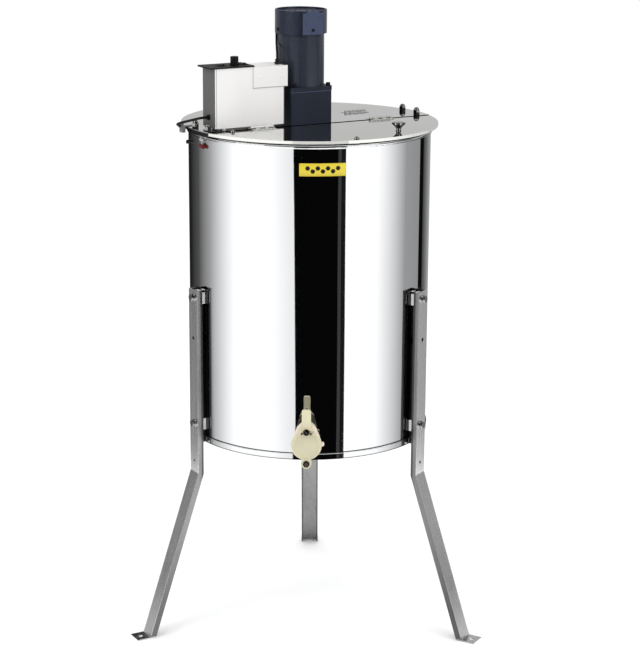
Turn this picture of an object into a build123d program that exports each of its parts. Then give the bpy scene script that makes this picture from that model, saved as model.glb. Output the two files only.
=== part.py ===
from build123d import *
import math
import os

# Electric four-frame honey extractor: drum on three legs, crossbeam with geared motor, two hinged lids.
# Frame: origin on the floor under the drum's axis, +Z up, the honey gate faces -Y. Millimetres.

os.makedirs("parts", exist_ok=True)

# ---------------------------------------------------------------- driving dimensions
FIT = 0.05            # radial clearance of every running fit
GAP = 0.3             # air between bodies that pass each other

DRUM_R = 250.0        # outside radius of the drum
SHEET = 1.0           # sheet thickness of wall and lids
DRUM_BOTTOM = 410.6
SKIRT_TOP = 425.0
RIM_Z = 1049.0        # centre of the rolled rim
RIM_R = 4.0
FLOOR_EDGE_Z = 425.0
FLOOR_CENTRE_Z = 440.0

LID_R = 264.7
LID_TOP = 1063.0
HEM_DEPTH = 6.0
HEM_WIDTH = 3.0
BEAM_HALF = 50.0      # half the beam's width
BEAM_TOP = 1064.0
BEAM_SHEET = 2.0
BEAM_ANGLE = 30.0     # the beam's direction, from +X
HINGE_Y = BEAM_HALF + GAP
HINGE_Z = 1066.9
HINGE_A = 138.0       # hinge centres along the beam
HINGE_LENGTH = 50.0
KNUCKLE_R = 2.6
PIN_R = 1.25

LEG_ANGLES = {"left": 210.0, "right": -30.0, "rear": 90.0}
LEG_WEB_R = 271.25    # outer face of the leg's web
LEG_WIDTH = 37.5
LEG_DEPTH = 12.0
LEG_SHEET = 2.5
LEG_TOP = 735.0
LEG_BEND_Z = 345.0
LEG_FOOT_R = 386.6
FOOT_LENGTH = 29.3
FOOT_HOLE_OUT = 15.0
FOOT_HOLE_R = 4.75
BOLT_ZS = (719.0, 451.0)
SPARE_HOLE_ZS = (633.0, 369.0)
BOLT_R = 3.95
BOLT_HOLE_R = 4.2

MOTOR_A = -21.5       # motor axis along the beam; the output shaft is on the drum's axis
GEARBOX_SIZE = 95.0
GEARBOX_WALL = 5.0
COVER_Z = 1130.4
MOTOR_Z = 1139.4
BODY_TOP = 1252.0
CAP_Z = 1245.0
CAP_TOP = 1292.5
CAP_R = 53.0
OUTPUT_R = 7.5
CAGE_SHAFT_R = 8.0

BOX_LEFT = -239.0
BOX_RIGHT = -83.5
BOX_FRONT = 43.0      # distance in front of the beam's centre line
BOX_DEPTH = 57.0
BOX_BOTTOM = 1068.0
BOX_TOP = 1187.0
BOX_SHEET = 1.5

POCKET_OUTER = 197.0  # distance of the outer screens from the axis
POCKET_INNER = 150.0
POCKET_HALF = 120.0
CAGE_LOW = 485.0
CAGE_HIGH = 981.0
BAR = 4.0

GATE_Z = 455.0
GATE_PIVOT_Z = GATE_Z - 36.5
GATE_CLAMP_Z = GATE_Z + 30.0
GATE_FACE_Y = -294.0

CABLE_R = 2.6
MOTOR_LEAD_R = 2.2

DRUM_IN_R = DRUM_R - SHEET
STANDING = (Align.CENTER, Align.CENTER, Align.MIN)


def finish(piece, label):
    """Name a finished piece and write it to its own file."""
    piece.part.label = label
    export_step(piece.part, f"parts/{label}.step")


def radial_plane(angle, z=0.0):
    """Horizontal plane on the drum's axis whose x points outwards at an angle."""
    direction = (math.cos(math.radians(angle)), math.sin(math.radians(angle)), 0)
    return Plane(origin=(0, 0, z), x_dir=direction, z_dir=(0, 0, 1))


def leg_side_plane(angle):
    """Upright plane through the axis: x outwards, y up, normal along the drum's tangent."""
    tangent = (math.sin(math.radians(angle)), -math.cos(math.radians(angle)), 0)
    outward = (math.cos(math.radians(angle)), math.sin(math.radians(angle)), 0)
    return Plane(origin=(0, 0, 0), x_dir=outward, z_dir=tangent)


def outward_plane(angle, radius, z):
    """Upright plane that faces outwards, at a radius and a height."""
    outward = (math.cos(math.radians(angle)), math.sin(math.radians(angle)), 0)
    tangent = (-math.sin(math.radians(angle)), math.cos(math.radians(angle)), 0)
    origin = (radius * outward[0], radius * outward[1], z)
    return Plane(origin=origin, x_dir=tangent, z_dir=outward)


def beam_plane(z=0.0, a=0.0, front=0.0):
    """Horizontal plane in the beam's frame: x along the beam, -y towards the front lid."""
    base = radial_plane(BEAM_ANGLE, z)
    return Plane(origin=base.from_local_coords((a, -front, 0)), x_dir=base.x_dir, z_dir=base.z_dir)


def beam_section_plane(a, side):
    """Upright plane across the beam at a: x away from the beam on one side, y up."""
    base = radial_plane(BEAM_ANGLE)
    origin = base.from_local_coords((a, 0, 0))
    return Plane(origin=origin, x_dir=base.y_dir * -side, z_dir=base.x_dir * -side)


def face_plane(front):
    """Upright plane facing the front lid: x along the beam, y up."""
    base = beam_plane(0, 0, front)
    return Plane(origin=base.origin, x_dir=base.x_dir, z_dir=-base.y_dir)


def end_plane(a):
    """Upright plane facing the beam's left end: x towards the front lid, y up."""
    base = beam_plane(0, a, 0)
    return Plane(origin=base.origin, x_dir=-base.y_dir, z_dir=-base.x_dir)


def front_plane(z, y):
    """Upright plane facing -Y, for the honey gate."""
    return Plane(origin=(0, y, z), x_dir=(1, 0, 0), z_dir=(0, -1, 0))


# ---------------------------------------------------------------- drum
with BuildPart() as drum_wall:
    with BuildSketch(Plane.XZ):
        with Locations((DRUM_R - SHEET / 2, (DRUM_BOTTOM + RIM_Z) / 2)):
            Rectangle(SHEET, RIM_Z - DRUM_BOTTOM)
        with Locations((DRUM_R, RIM_Z)):
            Circle(RIM_R)
            Circle(RIM_R - SHEET, mode=Mode.SUBTRACT)
    revolve(axis=Axis.Z)
    with BuildSketch(front_plane(GATE_Z, -DRUM_R + 20)):
        Circle(21.3)
    extrude(amount=40, mode=Mode.SUBTRACT)
finish(drum_wall, "drum_wall")

# Pan with a raised centre, a flange turned down inside the wall and a skirt outside it.
FLOOR_SHEET = 1.5
with BuildPart() as drum_floor:
    with BuildSketch(Plane.XZ):
        with BuildLine():
            Polyline(
                (0, FLOOR_CENTRE_Z),
                (40, FLOOR_CENTRE_Z),
                (DRUM_IN_R - 4, FLOOR_EDGE_Z),
                (DRUM_IN_R - FIT, FLOOR_EDGE_Z),
                (DRUM_IN_R - FIT, DRUM_BOTTOM),
                (DRUM_IN_R - FLOOR_SHEET, DRUM_BOTTOM),
                (DRUM_IN_R - FLOOR_SHEET, FLOOR_EDGE_Z - FLOOR_SHEET),
                (DRUM_IN_R - 4, FLOOR_EDGE_Z - FLOOR_SHEET),
                (40, FLOOR_CENTRE_Z - FLOOR_SHEET),
                (0, FLOOR_CENTRE_Z - FLOOR_SHEET),
                close=True,
            )
        make_face()
    revolve(axis=Axis.Z)
finish(drum_floor, "drum_floor")

with BuildPart() as base_band:
    with BuildSketch(Plane.XZ):
        with BuildLine():
            Polyline(
                (DRUM_R + FIT, DRUM_BOTTOM),
                (DRUM_R + 1.6, DRUM_BOTTOM),
                (DRUM_R + 1.6, SKIRT_TOP - 3),
                (DRUM_R + 2.4, SKIRT_TOP - 2),
                (DRUM_R + 2.4, SKIRT_TOP - 1),
                (DRUM_R + 1.2, SKIRT_TOP),
                (DRUM_R + FIT, SKIRT_TOP),
                close=True,
            )
        make_face()
    revolve(axis=Axis.Z)
finish(base_band, "base_band")

CUP_TOP = 466.0
PIVOT_BOTTOM = 450.0
with BuildPart() as bearing_cup:
    with BuildSketch(Plane.XZ):
        with BuildLine():
            Polyline(
                (0, FLOOR_CENTRE_Z + 0.02),
                (30, FLOOR_CENTRE_Z + 0.02),
                (30, FLOOR_CENTRE_Z + 4),
                (17, FLOOR_CENTRE_Z + 7),
                (15, CUP_TOP),
                (CAGE_SHAFT_R + FIT, CUP_TOP),
                (CAGE_SHAFT_R + FIT, PIVOT_BOTTOM - GAP),
                (0, PIVOT_BOTTOM - GAP),
                close=True,
            )
        make_face()
    revolve(axis=Axis.Z)
finish(bearing_cup, "bearing_cup")

# ---------------------------------------------------------------- legs and their brackets
BRACKET_WEB_R = LEG_WEB_R - LEG_SHEET - 0.2
BRACKET_HALF = 15.9
BRACKET_SHEET = 2.0
BRACKET_FLANGE = 27.0
BRACKET_LOW = 412.0
WINDOW_R = (251.8, 259.4)
WINDOW_HEIGHT = 24.2
SLOT_HEIGHT = 14.0

with BuildPart() as leg_brackets:
    for angle in LEG_ANGLES.values():
        with BuildSketch(radial_plane(angle, BRACKET_LOW)):
            with Locations((DRUM_R + 2, 0)):
                Rectangle(20, 2 * BRACKET_FLANGE)
            Circle(DRUM_R + 1.6 + FIT, mode=Mode.INTERSECT)
            with Locations(((BRACKET_WEB_R + DRUM_R - 10) / 2, 0)):
                Rectangle(BRACKET_WEB_R - DRUM_R + 10, 2 * BRACKET_HALF)
            with Locations(((BRACKET_WEB_R - BRACKET_SHEET + DRUM_R - 20) / 2, 0)):
                Rectangle(
                    BRACKET_WEB_R - BRACKET_SHEET - DRUM_R + 20,
                    2 * (BRACKET_HALF - BRACKET_SHEET),
                    mode=Mode.SUBTRACT,
                )
            Circle(DRUM_R + FIT, mode=Mode.SUBTRACT)
        extrude(amount=LEG_TOP - BRACKET_LOW)
    with BuildSketch(Plane.XY.offset(DRUM_BOTTOM)):
        Circle(DRUM_R + 2.4 + GAP)
    extrude(amount=SKIRT_TOP + GAP - DRUM_BOTTOM, mode=Mode.SUBTRACT)
    for angle in LEG_ANGLES.values():
        with BuildSketch(leg_side_plane(angle)):
            for z in BOLT_ZS:
                with Locations((sum(WINDOW_R) / 2, z)):
                    Rectangle(WINDOW_R[1] - WINDOW_R[0], WINDOW_HEIGHT)
            with Locations((254.5, SPARE_HOLE_ZS[0])):
                Rectangle(4, SLOT_HEIGHT)
        extrude(amount=BRACKET_HALF + 1, both=True, mode=Mode.SUBTRACT)
        for z in BOLT_ZS:
            with BuildSketch(outward_plane(angle, BRACKET_WEB_R - 5, z)):
                Circle(BOLT_HOLE_R)
            extrude(amount=10, mode=Mode.SUBTRACT)
finish(leg_brackets, "leg_brackets")

SLOPE = math.atan2(LEG_FOOT_R - LEG_WEB_R, LEG_BEND_Z)


def leg_outline(inset, top, bottom_extra):
    """Side view of the leg's outer line, moved inwards square to the sheet by inset."""
    bend_shift = inset * math.tan(SLOPE / 2)
    foot_shift = inset / math.cos(SLOPE)
    bend = (LEG_WEB_R - inset, LEG_BEND_Z - bend_shift)
    foot_x = LEG_FOOT_R - foot_shift + bottom_extra * math.tan(SLOPE)
    return (LEG_WEB_R - inset, top), bend, (foot_x, -bottom_extra)


def make_leg(angle, label):
    """Bent channel with its web outwards and a foot plate with an anchor hole."""
    outer = leg_outline(0, LEG_TOP, 0)
    edge = leg_outline(LEG_DEPTH, LEG_TOP, 0)
    web_in = leg_outline(LEG_SHEET, LEG_TOP + 1, 1)
    hollow = leg_outline(LEG_DEPTH + 5, LEG_TOP + 1, 1)
    with BuildPart() as leg:
        with BuildSketch(leg_side_plane(angle)):
            with BuildLine():
                Polyline(*outer, *reversed(edge), close=True)
            make_face()
        extrude(amount=LEG_WIDTH / 2, both=True)
        with BuildSketch(leg_side_plane(angle)):
            with BuildLine():
                Polyline(*web_in, *reversed(hollow), close=True)
            make_face()
        extrude(amount=LEG_WIDTH / 2 - LEG_SHEET, both=True, mode=Mode.SUBTRACT)
        with BuildSketch(radial_plane(angle)):
            with Locations((LEG_FOOT_R + FOOT_LENGTH / 2 - 1.5, 0)):
                Rectangle(FOOT_LENGTH + 3, LEG_WIDTH)
            with Locations((LEG_FOOT_R + FOOT_HOLE_OUT, 0)):
                Circle(FOOT_HOLE_R, mode=Mode.SUBTRACT)
        extrude(amount=LEG_SHEET)
        for z in BOLT_ZS + SPARE_HOLE_ZS:
            with BuildSketch(outward_plane(angle, LEG_WEB_R - 5, z)):
                Circle(BOLT_HOLE_R)
            extrude(amount=10, mode=Mode.SUBTRACT)
    finish(leg, label)


for side, leg_angle in LEG_ANGLES.items():
    make_leg(leg_angle, f"leg_{side}")

# Nut plates: each stands in the windows of its bracket and takes one leg bolt.
PLATE_HALF = 16.8
with BuildPart() as nut_plates:
    for angle in LEG_ANGLES.values():
        for z in BOLT_ZS:
            with BuildSketch(outward_plane(angle, WINDOW_R[0] + 0.2, z)):
                Rectangle(2 * PLATE_HALF, WINDOW_HEIGHT - 0.4)
            extrude(amount=WINDOW_R[1] - WINDOW_R[0] - 0.4)
            with BuildSketch(outward_plane(angle, WINDOW_R[1] - 0.2, z)):
                Rectangle(16, 16)
            extrude(amount=BRACKET_WEB_R - BRACKET_SHEET - WINDOW_R[1])
            with BuildSketch(outward_plane(angle, WINDOW_R[0] + 1.5, z)):
                Circle(BOLT_R + FIT)
            extrude(amount=20, mode=Mode.SUBTRACT)
finish(nut_plates, "nut_plates")

HEX_HEAD = 13.0
with BuildPart() as leg_bolts:
    for angle in LEG_ANGLES.values():
        for z in BOLT_ZS:
            with BuildSketch(outward_plane(angle, LEG_WEB_R - 16, z)):
                Circle(BOLT_R)
            extrude(amount=16.5)
            with BuildSketch(outward_plane(angle, LEG_WEB_R + 0.02, z)):
                Circle(8.0)
            extrude(amount=1.2)
            with BuildSketch(outward_plane(angle, LEG_WEB_R + 1.2, z)):
                RegularPolygon(HEX_HEAD / 2, 6, major_radius=False)
            extrude(amount=5.3)
finish(leg_bolts, "leg_bolts")

# ---------------------------------------------------------------- crossbeam
STUD_AS = {1: 242.0, -1: -248.0}     # along the beam; the left pair clears the control box
STUD_Y = 28.0
STUD_R = 3.95
FLANGE_END = 236.0
with BuildPart() as crossbeam:
    with BuildSketch(beam_plane(BEAM_TOP - BEAM_SHEET)):
        Rectangle(2 * LID_R, 2 * BEAM_HALF)
        Circle(LID_R - 0.7, mode=Mode.INTERSECT)
    extrude(amount=BEAM_SHEET)
    for side in (-1, 1):
        with BuildSketch(beam_plane(BEAM_TOP - 18, 0, side * (BEAM_HALF - BEAM_SHEET / 2))):
            Rectangle(2 * FLANGE_END, BEAM_SHEET)
        extrude(amount=17)
    with BuildSketch(beam_plane(BEAM_TOP - 5)):
        with Locations(*[(a, j * STUD_Y) for a in STUD_AS.values() for j in (-1, 1)]):
            Circle(BOLT_HOLE_R)
        Circle(14)
    extrude(amount=10, mode=Mode.SUBTRACT)
finish(crossbeam, "crossbeam")

# Saddles carry the beam on the rolled rim; their welded studs take the dome nuts.
SADDLE_BASE = RIM_Z + RIM_R + 0.02
with BuildPart() as beam_saddles:
    for turn, stud_a in ((0, STUD_AS[1]), (180, -STUD_AS[-1])):
        saddle_plane = radial_plane(BEAM_ANGLE + turn, SADDLE_BASE)
        with BuildSketch(saddle_plane):
            with Locations((250, 0)):
                Rectangle(40, 90)
            Circle(262, mode=Mode.INTERSECT)
            Circle(236, mode=Mode.SUBTRACT)
        extrude(amount=BEAM_TOP - BEAM_SHEET - 0.02 - SADDLE_BASE)
        with BuildSketch(radial_plane(BEAM_ANGLE + turn, 1018)):
            with Locations((235, 0)):
                Rectangle(30, 90)
            Circle(244, mode=Mode.INTERSECT)
            Circle(241, mode=Mode.SUBTRACT)
        extrude(amount=SADDLE_BASE + 1 - 1018)
        with BuildSketch(saddle_plane):
            with Locations((stud_a, STUD_Y), (stud_a, -STUD_Y)):
                Circle(STUD_R)
        extrude(amount=18)
finish(beam_saddles, "beam_saddles")

with BuildPart() as dome_nuts:
    for stud_a in STUD_AS.values():
        for j in (-1, 1):
            seat = beam_plane(BEAM_TOP + 0.02, stud_a, j * STUD_Y)
            with BuildSketch(seat):
                RegularPolygon(HEX_HEAD / 2, 6, major_radius=False)
            extrude(amount=8)
            with Locations(seat.offset(8)):
                Sphere(5.9, arc_size1=0, align=STANDING)
            with BuildSketch(seat.offset(-1)):
                Circle(STUD_R + FIT)
            extrude(amount=10.5, mode=Mode.SUBTRACT)
finish(dome_nuts, "dome_nuts")

# ---------------------------------------------------------------- lids and hinges
KNOB_A = 91.0
KNOB_FRONT = 201.0
FITTING_SPOTS = {1: ((-34.0, 249.0), (-212.0, 66.0)), -1: ((34.0, -249.0), (125.5, -217.0))}
FITTING_FOOT = 8.5
FITTING_HEAD_R = 5.2
FIXED_KNUCKLES = ((-25.0, -15.2), (-4.8, 4.8), (15.2, 25.0))
MOVING_KNUCKLES = ((-14.9, -5.1), (5.1, 14.9))
SIDES = {"front": 1, "rear": -1}


def knob_spot(side):
    """Place of a lid's knob in the beam's frame; the rear knob is the front one turned half round."""
    return side * KNOB_A, -side * KNOB_FRONT


def fitting_spots(side):
    """Places of a lid's rubber-footed screws in the beam's frame."""
    return [(a, -front) for a, front in FITTING_SPOTS[side]]


def make_lid(side, label):
    """Half disc with a hemmed rim and a fold along the beam."""
    with BuildPart() as lid:
        with BuildSketch(beam_plane(LID_TOP - HEM_DEPTH)):
            Circle(LID_R)
            with Locations((0, side * (LID_R - HINGE_Y))):
                Rectangle(3 * LID_R, 2 * LID_R, mode=Mode.SUBTRACT)
        extrude(amount=HEM_DEPTH)
        with BuildSketch(beam_plane(LID_TOP - HEM_DEPTH - 1)):
            Circle(LID_R - HEM_WIDTH)
            with Locations((0, side * (LID_R - HINGE_Y - SHEET))):
                Rectangle(3 * LID_R, 2 * LID_R, mode=Mode.SUBTRACT)
        extrude(amount=HEM_DEPTH + 1 - SHEET, mode=Mode.SUBTRACT)
        with BuildSketch(beam_plane(LID_TOP - 5)):
            with Locations(knob_spot(side), *fitting_spots(side)):
                Circle(2.1)
        extrude(amount=10, mode=Mode.SUBTRACT)
    finish(lid, label)


def make_lid_knob(side, label):
    """Flared knob turned from bar, with its screw and nut through the lid."""
    spot_a, spot_y = knob_spot(side)
    seat = beam_plane(LID_TOP + 0.02, spot_a, -spot_y)
    with BuildPart() as knob:
        with BuildSketch(Plane(origin=seat.origin, x_dir=seat.x_dir, z_dir=-seat.y_dir)):
            with BuildLine():
                Polyline((0, 17.6), (11, 17.6), (13.4, 16.9), (14.2, 15.4), (13.4, 13.8), (8.4, 9.4))
                Polyline((8.4, 9.4), (5.2, 5.4), (4.5, 2.4), (6.2, 0), (2, 0), (2, -4.5), (0, -4.5), (0, 17.6))
            make_face()
        revolve(axis=Axis(seat.origin, seat.z_dir))
        with BuildSketch(seat.offset(-4.5)):
            RegularPolygon(3.5, 6, major_radius=False)
        extrude(amount=3.2)
    finish(knob, label)


def make_lid_fittings(side, label):
    """Dome-headed screws through the lid, each with a round foot under the sheet."""
    with BuildPart() as fittings:
        for spot_a, spot_y in fitting_spots(side):
            seat = beam_plane(LID_TOP, spot_a, -spot_y)
            with BuildSketch(seat.offset(-SHEET - FITTING_FOOT)):
                Circle(5.5)
            extrude(amount=FITTING_FOOT - 0.02)
            with BuildSketch(seat.offset(-SHEET - 1)):
                Circle(2.0)
            extrude(amount=SHEET + 2)
            with Locations(seat.offset(0.02)):
                Sphere(FITTING_HEAD_R, arc_size1=0, align=STANDING)
    finish(fittings, label)


LEAF_SHEET = 1.2
LEAF_CLEAR = KNUCKLE_R + 0.4
BEAM_LEAF = (36.0, HINGE_Y - LEAF_CLEAR)
LID_LEAF = (HINGE_Y + LEAF_CLEAR, 66.0)


def add_leaves(side, knuckles, leaf_low, leaf, near):
    """Two leaves on one side of the beam; each is a plate, its knuckles and the pin's bore."""
    step_top = HINGE_Z - PIN_R - FIT
    for centre in (-HINGE_A, HINGE_A):
        with BuildSketch(beam_plane(leaf_low, centre, side * sum(leaf) / 2)) as plate:
            Rectangle(HINGE_LENGTH, leaf[1] - leaf[0])
            with Locations((-18, 0), (0, 0), (18, 0)):
                Circle(1.6, mode=Mode.SUBTRACT)
        extrude(plate.sketch, amount=LEAF_SHEET)
        for start, end in knuckles:
            with BuildSketch(beam_section_plane(centre - side * start, side)) as knuckle:
                with Locations(((near + HINGE_Y) / 2, (leaf_low + step_top) / 2)):
                    Rectangle(abs(HINGE_Y - near), step_top - leaf_low)
                with Locations((HINGE_Y, HINGE_Z)):
                    Circle(KNUCKLE_R)
                    Circle(PIN_R + FIT, mode=Mode.SUBTRACT)
            extrude(knuckle.sketch, amount=end - start)


with BuildPart() as hinge_leaves_beam:
    for side in SIDES.values():
        add_leaves(side, FIXED_KNUCKLES, BEAM_TOP + 0.02, BEAM_LEAF, BEAM_LEAF[1])
finish(hinge_leaves_beam, "hinge_leaves_beam")

with BuildPart() as hinge_pins:
    for side in SIDES.values():
        for centre in (-HINGE_A, HINGE_A):
            with BuildSketch(beam_section_plane(centre + side * (HINGE_LENGTH / 2 + 1), side)):
                with Locations((HINGE_Y, HINGE_Z)):
                    Circle(PIN_R)
            extrude(amount=HINGE_LENGTH + 2)
            with BuildSketch(beam_section_plane(centre + side * (HINGE_LENGTH / 2 + 1), side)):
                with Locations((HINGE_Y, HINGE_Z)):
                    Circle(2.0)
            extrude(amount=0.7)
finish(hinge_pins, "hinge_pins")

for side_name, side in SIDES.items():
    make_lid(side, f"{side_name}_lid")
    make_lid_knob(side, f"{side_name}_lid_knob")
    make_lid_fittings(side, f"{side_name}_lid_fittings")
    with BuildPart() as lid_leaves:
        add_leaves(side, MOVING_KNUCKLES, LID_TOP + 0.02, LID_LEAF, LID_LEAF[0])
    finish(lid_leaves, f"hinge_leaves_{side_name}")

# ---------------------------------------------------------------- gearbox
MODULE = 1.0
PRESSURE = math.radians(25)
BACKLASH = 0.12
MOTOR_TEETH = 12
WHEEL_TEETH = 26
IDLER_TEETH = 14
OUTPUT_TEETH = 32
FIRST_CENTRES = MODULE * (MOTOR_TEETH + WHEEL_TEETH) / 2
SECOND_CENTRES = MODULE * (IDLER_TEETH + OUTPUT_TEETH) / 2
IDLER_OFFSET = (FIRST_CENTRES**2 - SECOND_CENTRES**2 + MOTOR_A**2) / (2 * -MOTOR_A)
IDLER_A = MOTOR_A + IDLER_OFFSET
IDLER_Y = math.sqrt(FIRST_CENTRES**2 - IDLER_OFFSET**2)
TO_IDLER = math.atan2(IDLER_Y, IDLER_OFFSET)
TO_OUTPUT = math.atan2(-IDLER_Y, -IDLER_A)
FIRST_STAGE = (1107.0, 11.0)    # height of the lower face and width of the motor pinion's stage
SECOND_STAGE = (1087.0, 12.0)


def involute(angle):
    """Involute function of a pressure angle."""
    return math.tan(angle) - angle


def gear_points(teeth, first_tooth):
    """Outline of a spur gear whose first tooth is centred on an angle, in radians."""
    pitch_r = MODULE * teeth / 2
    base_r = pitch_r * math.cos(PRESSURE)
    root_r = pitch_r - 1.25 * MODULE
    tip_r = pitch_r + 0.95 * MODULE
    start_r = max(base_r, root_r)
    half_pitch = math.pi / (2 * teeth) - BACKLASH / (2 * pitch_r)
    flank = []
    for step in range(5):
        radius = start_r + (tip_r - start_r) * step / 4
        spread = half_pitch + involute(PRESSURE) - involute(math.acos(min(1, base_r / radius)))
        flank.append((radius, spread))
    tooth = [(root_r, -flank[0][1] - 0.02)] + [(r, -s) for r, s in flank]
    tooth += [(r, s) for r, s in reversed(flank)] + [(root_r, flank[0][1] + 0.02)]
    points = []
    for index in range(teeth):
        centre = first_tooth + 2 * math.pi * index / teeth
        points += [(r * math.cos(centre + s), r * math.sin(centre + s)) for r, s in tooth]
    return points


def add_gear(plane, teeth, first_tooth, width):
    """Extrude one spur gear on a plane."""
    with BuildSketch(plane) as profile:
        with BuildLine():
            Polyline(*gear_points(teeth, first_tooth), close=True)
        make_face()
    extrude(profile.sketch, amount=width)


def add_disc(plane, radius, height):
    """Extrude one round boss on a plane."""
    with BuildSketch(plane) as profile:
        Circle(radius)
    extrude(profile.sketch, amount=height)


def cut_disc(plane, radius, height):
    """Cut one round hole from a plane."""
    with BuildSketch(plane) as profile:
        Circle(radius)
    extrude(profile.sketch, amount=height, mode=Mode.SUBTRACT)


def motor_plane(z):
    """Horizontal plane on the motor's axis."""
    return beam_plane(z, MOTOR_A, 0)


def idler_plane(z):
    """Horizontal plane on the idler's axis."""
    return beam_plane(z, IDLER_A, -IDLER_Y)


HOUSING_Z = BEAM_TOP + 0.02
HOUSING_FLOOR = 8.0
OUTPUT_BUSH = (12.0, 1083.0)    # outside radius and top of the output shaft's bush
IDLER_BUSH_R = 7.0
IDLER_SHAFT_R = 4.0
ROTOR_SHAFT_R = 5.0
MOTOR_BUSH_R = 9.0
with BuildPart() as gearbox_housing:
    with BuildSketch(motor_plane(HOUSING_Z)):
        RectangleRounded(GEARBOX_SIZE, GEARBOX_SIZE, 5)
    extrude(amount=COVER_Z - 0.02 - HOUSING_Z)
    with BuildSketch(motor_plane(HOUSING_Z + HOUSING_FLOOR)):
        RectangleRounded(GEARBOX_SIZE - 2 * GEARBOX_WALL, GEARBOX_SIZE - 2 * GEARBOX_WALL, 8)
    extrude(amount=COVER_Z, mode=Mode.SUBTRACT)
    cut_disc(beam_plane(HOUSING_Z - 1), OUTPUT_BUSH[0] + FIT, HOUSING_FLOOR + 2)
    cut_disc(idler_plane(HOUSING_Z + 2), IDLER_BUSH_R + FIT, HOUSING_FLOOR)
finish(gearbox_housing, "gearbox_housing")

SCREW_SPREAD = 82.0
with BuildPart() as gearbox_cover:
    with BuildSketch(motor_plane(COVER_Z)):
        RectangleRounded(GEARBOX_SIZE + 1, GEARBOX_SIZE + 1, 5)
    extrude(amount=MOTOR_Z - 0.02 - COVER_Z)
    cut_disc(motor_plane(COVER_Z - 1), MOTOR_BUSH_R + FIT, 20)
    cut_disc(idler_plane(COVER_Z - 1), IDLER_BUSH_R + FIT, 6)
    with BuildSketch(motor_plane(COVER_Z - 1)):
        with GridLocations(SCREW_SPREAD, SCREW_SPREAD, 2, 2):
            Circle(2.6)
    extrude(amount=20, mode=Mode.SUBTRACT)
finish(gearbox_cover, "gearbox_cover")

with BuildPart() as gear_bushes:
    add_disc(beam_plane(HOUSING_Z + 1), OUTPUT_BUSH[0], OUTPUT_BUSH[1] - HOUSING_Z - 1)
    cut_disc(beam_plane(HOUSING_Z), OUTPUT_R + FIT, 30)
    add_disc(idler_plane(HOUSING_Z + 2.1), IDLER_BUSH_R, HOUSING_FLOOR + 1)
    cut_disc(idler_plane(HOUSING_Z + 3.1), IDLER_SHAFT_R + FIT, 20)
    add_disc(idler_plane(COVER_Z - 2), IDLER_BUSH_R, 6.9)
    cut_disc(idler_plane(COVER_Z - 3), IDLER_SHAFT_R + FIT, 6.9)
    add_disc(motor_plane(COVER_Z - 1), MOTOR_BUSH_R, 14)
    cut_disc(motor_plane(COVER_Z - 2), ROTOR_SHAFT_R + FIT, 20)
    add_disc(motor_plane(BODY_TOP - 6), MOTOR_BUSH_R, 6.5)
    cut_disc(motor_plane(BODY_TOP - 7), ROTOR_SHAFT_R + FIT, 10)
finish(gear_bushes, "gear_bushes")

with BuildPart() as output_shaft:
    add_disc(beam_plane(1036), OUTPUT_R, SECOND_STAGE[0] + SECOND_STAGE[1] + 4 - 1036)
    add_disc(beam_plane(OUTPUT_BUSH[1] + GAP), 11, 3)
    first_tooth = TO_OUTPUT + math.pi + math.pi / OUTPUT_TEETH
    add_gear(beam_plane(SECOND_STAGE[0] + 0.5), OUTPUT_TEETH, first_tooth, SECOND_STAGE[1] - 1)
finish(output_shaft, "output_shaft")

with BuildPart() as idler_gear:
    idler_low = HOUSING_Z + 3.4
    add_disc(idler_plane(idler_low), IDLER_SHAFT_R, COVER_Z + 3.5 - idler_low)
    add_gear(idler_plane(SECOND_STAGE[0]), IDLER_TEETH, TO_OUTPUT, FIRST_STAGE[0] - SECOND_STAGE[0] + 1)
    first_tooth = TO_IDLER + math.pi + math.pi / WHEEL_TEETH
    add_gear(idler_plane(FIRST_STAGE[0] + 0.5), WHEEL_TEETH, first_tooth, FIRST_STAGE[1] - 1)
finish(idler_gear, "idler_gear")

# ---------------------------------------------------------------- motor
ROTOR_CORE = (26.0, 1162.0, 58.0)      # radius, lower face, height
FAN_Z = 1257.0
with BuildPart() as rotor:
    add_disc(motor_plane(FIRST_STAGE[0] - 1), ROTOR_SHAFT_R, FAN_Z + 20 - FIRST_STAGE[0] + 1)
    add_gear(motor_plane(FIRST_STAGE[0]), MOTOR_TEETH, TO_IDLER, FIRST_STAGE[1] + 1)
    add_disc(motor_plane(ROTOR_CORE[1]), ROTOR_CORE[0], ROTOR_CORE[2])
    with BuildSketch(motor_plane(ROTOR_CORE[1] - 4)):
        Circle(22)
        Circle(14, mode=Mode.SUBTRACT)
    extrude(amount=ROTOR_CORE[2] + 8)
finish(rotor, "rotor")

with BuildPart() as cooling_fan:
    add_disc(motor_plane(FAN_Z), 11, 15)
    add_disc(motor_plane(FAN_Z), 40, 1.6)
    with BuildSketch(motor_plane(FAN_Z)):
        with PolarLocations(24.5, 9):
            Rectangle(29, 1.6)
    extrude(amount=14)
    cut_disc(motor_plane(FAN_Z - 1), ROTOR_SHAFT_R + 0.01, 20)
finish(cooling_fan, "cooling_fan")

STATOR_OUT_R = 43.4
with BuildPart() as stator:
    with BuildSketch(motor_plane(ROTOR_CORE[1] - 1)):
        Circle(STATOR_OUT_R)
        Circle(ROTOR_CORE[0] + 0.6, mode=Mode.SUBTRACT)
    extrude(amount=ROTOR_CORE[2] + 2)
    with BuildSketch(motor_plane(ROTOR_CORE[1] - 9)):
        Circle(40)
        Circle(31, mode=Mode.SUBTRACT)
    extrude(amount=ROTOR_CORE[2] + 18)
finish(stator, "stator")

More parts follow.
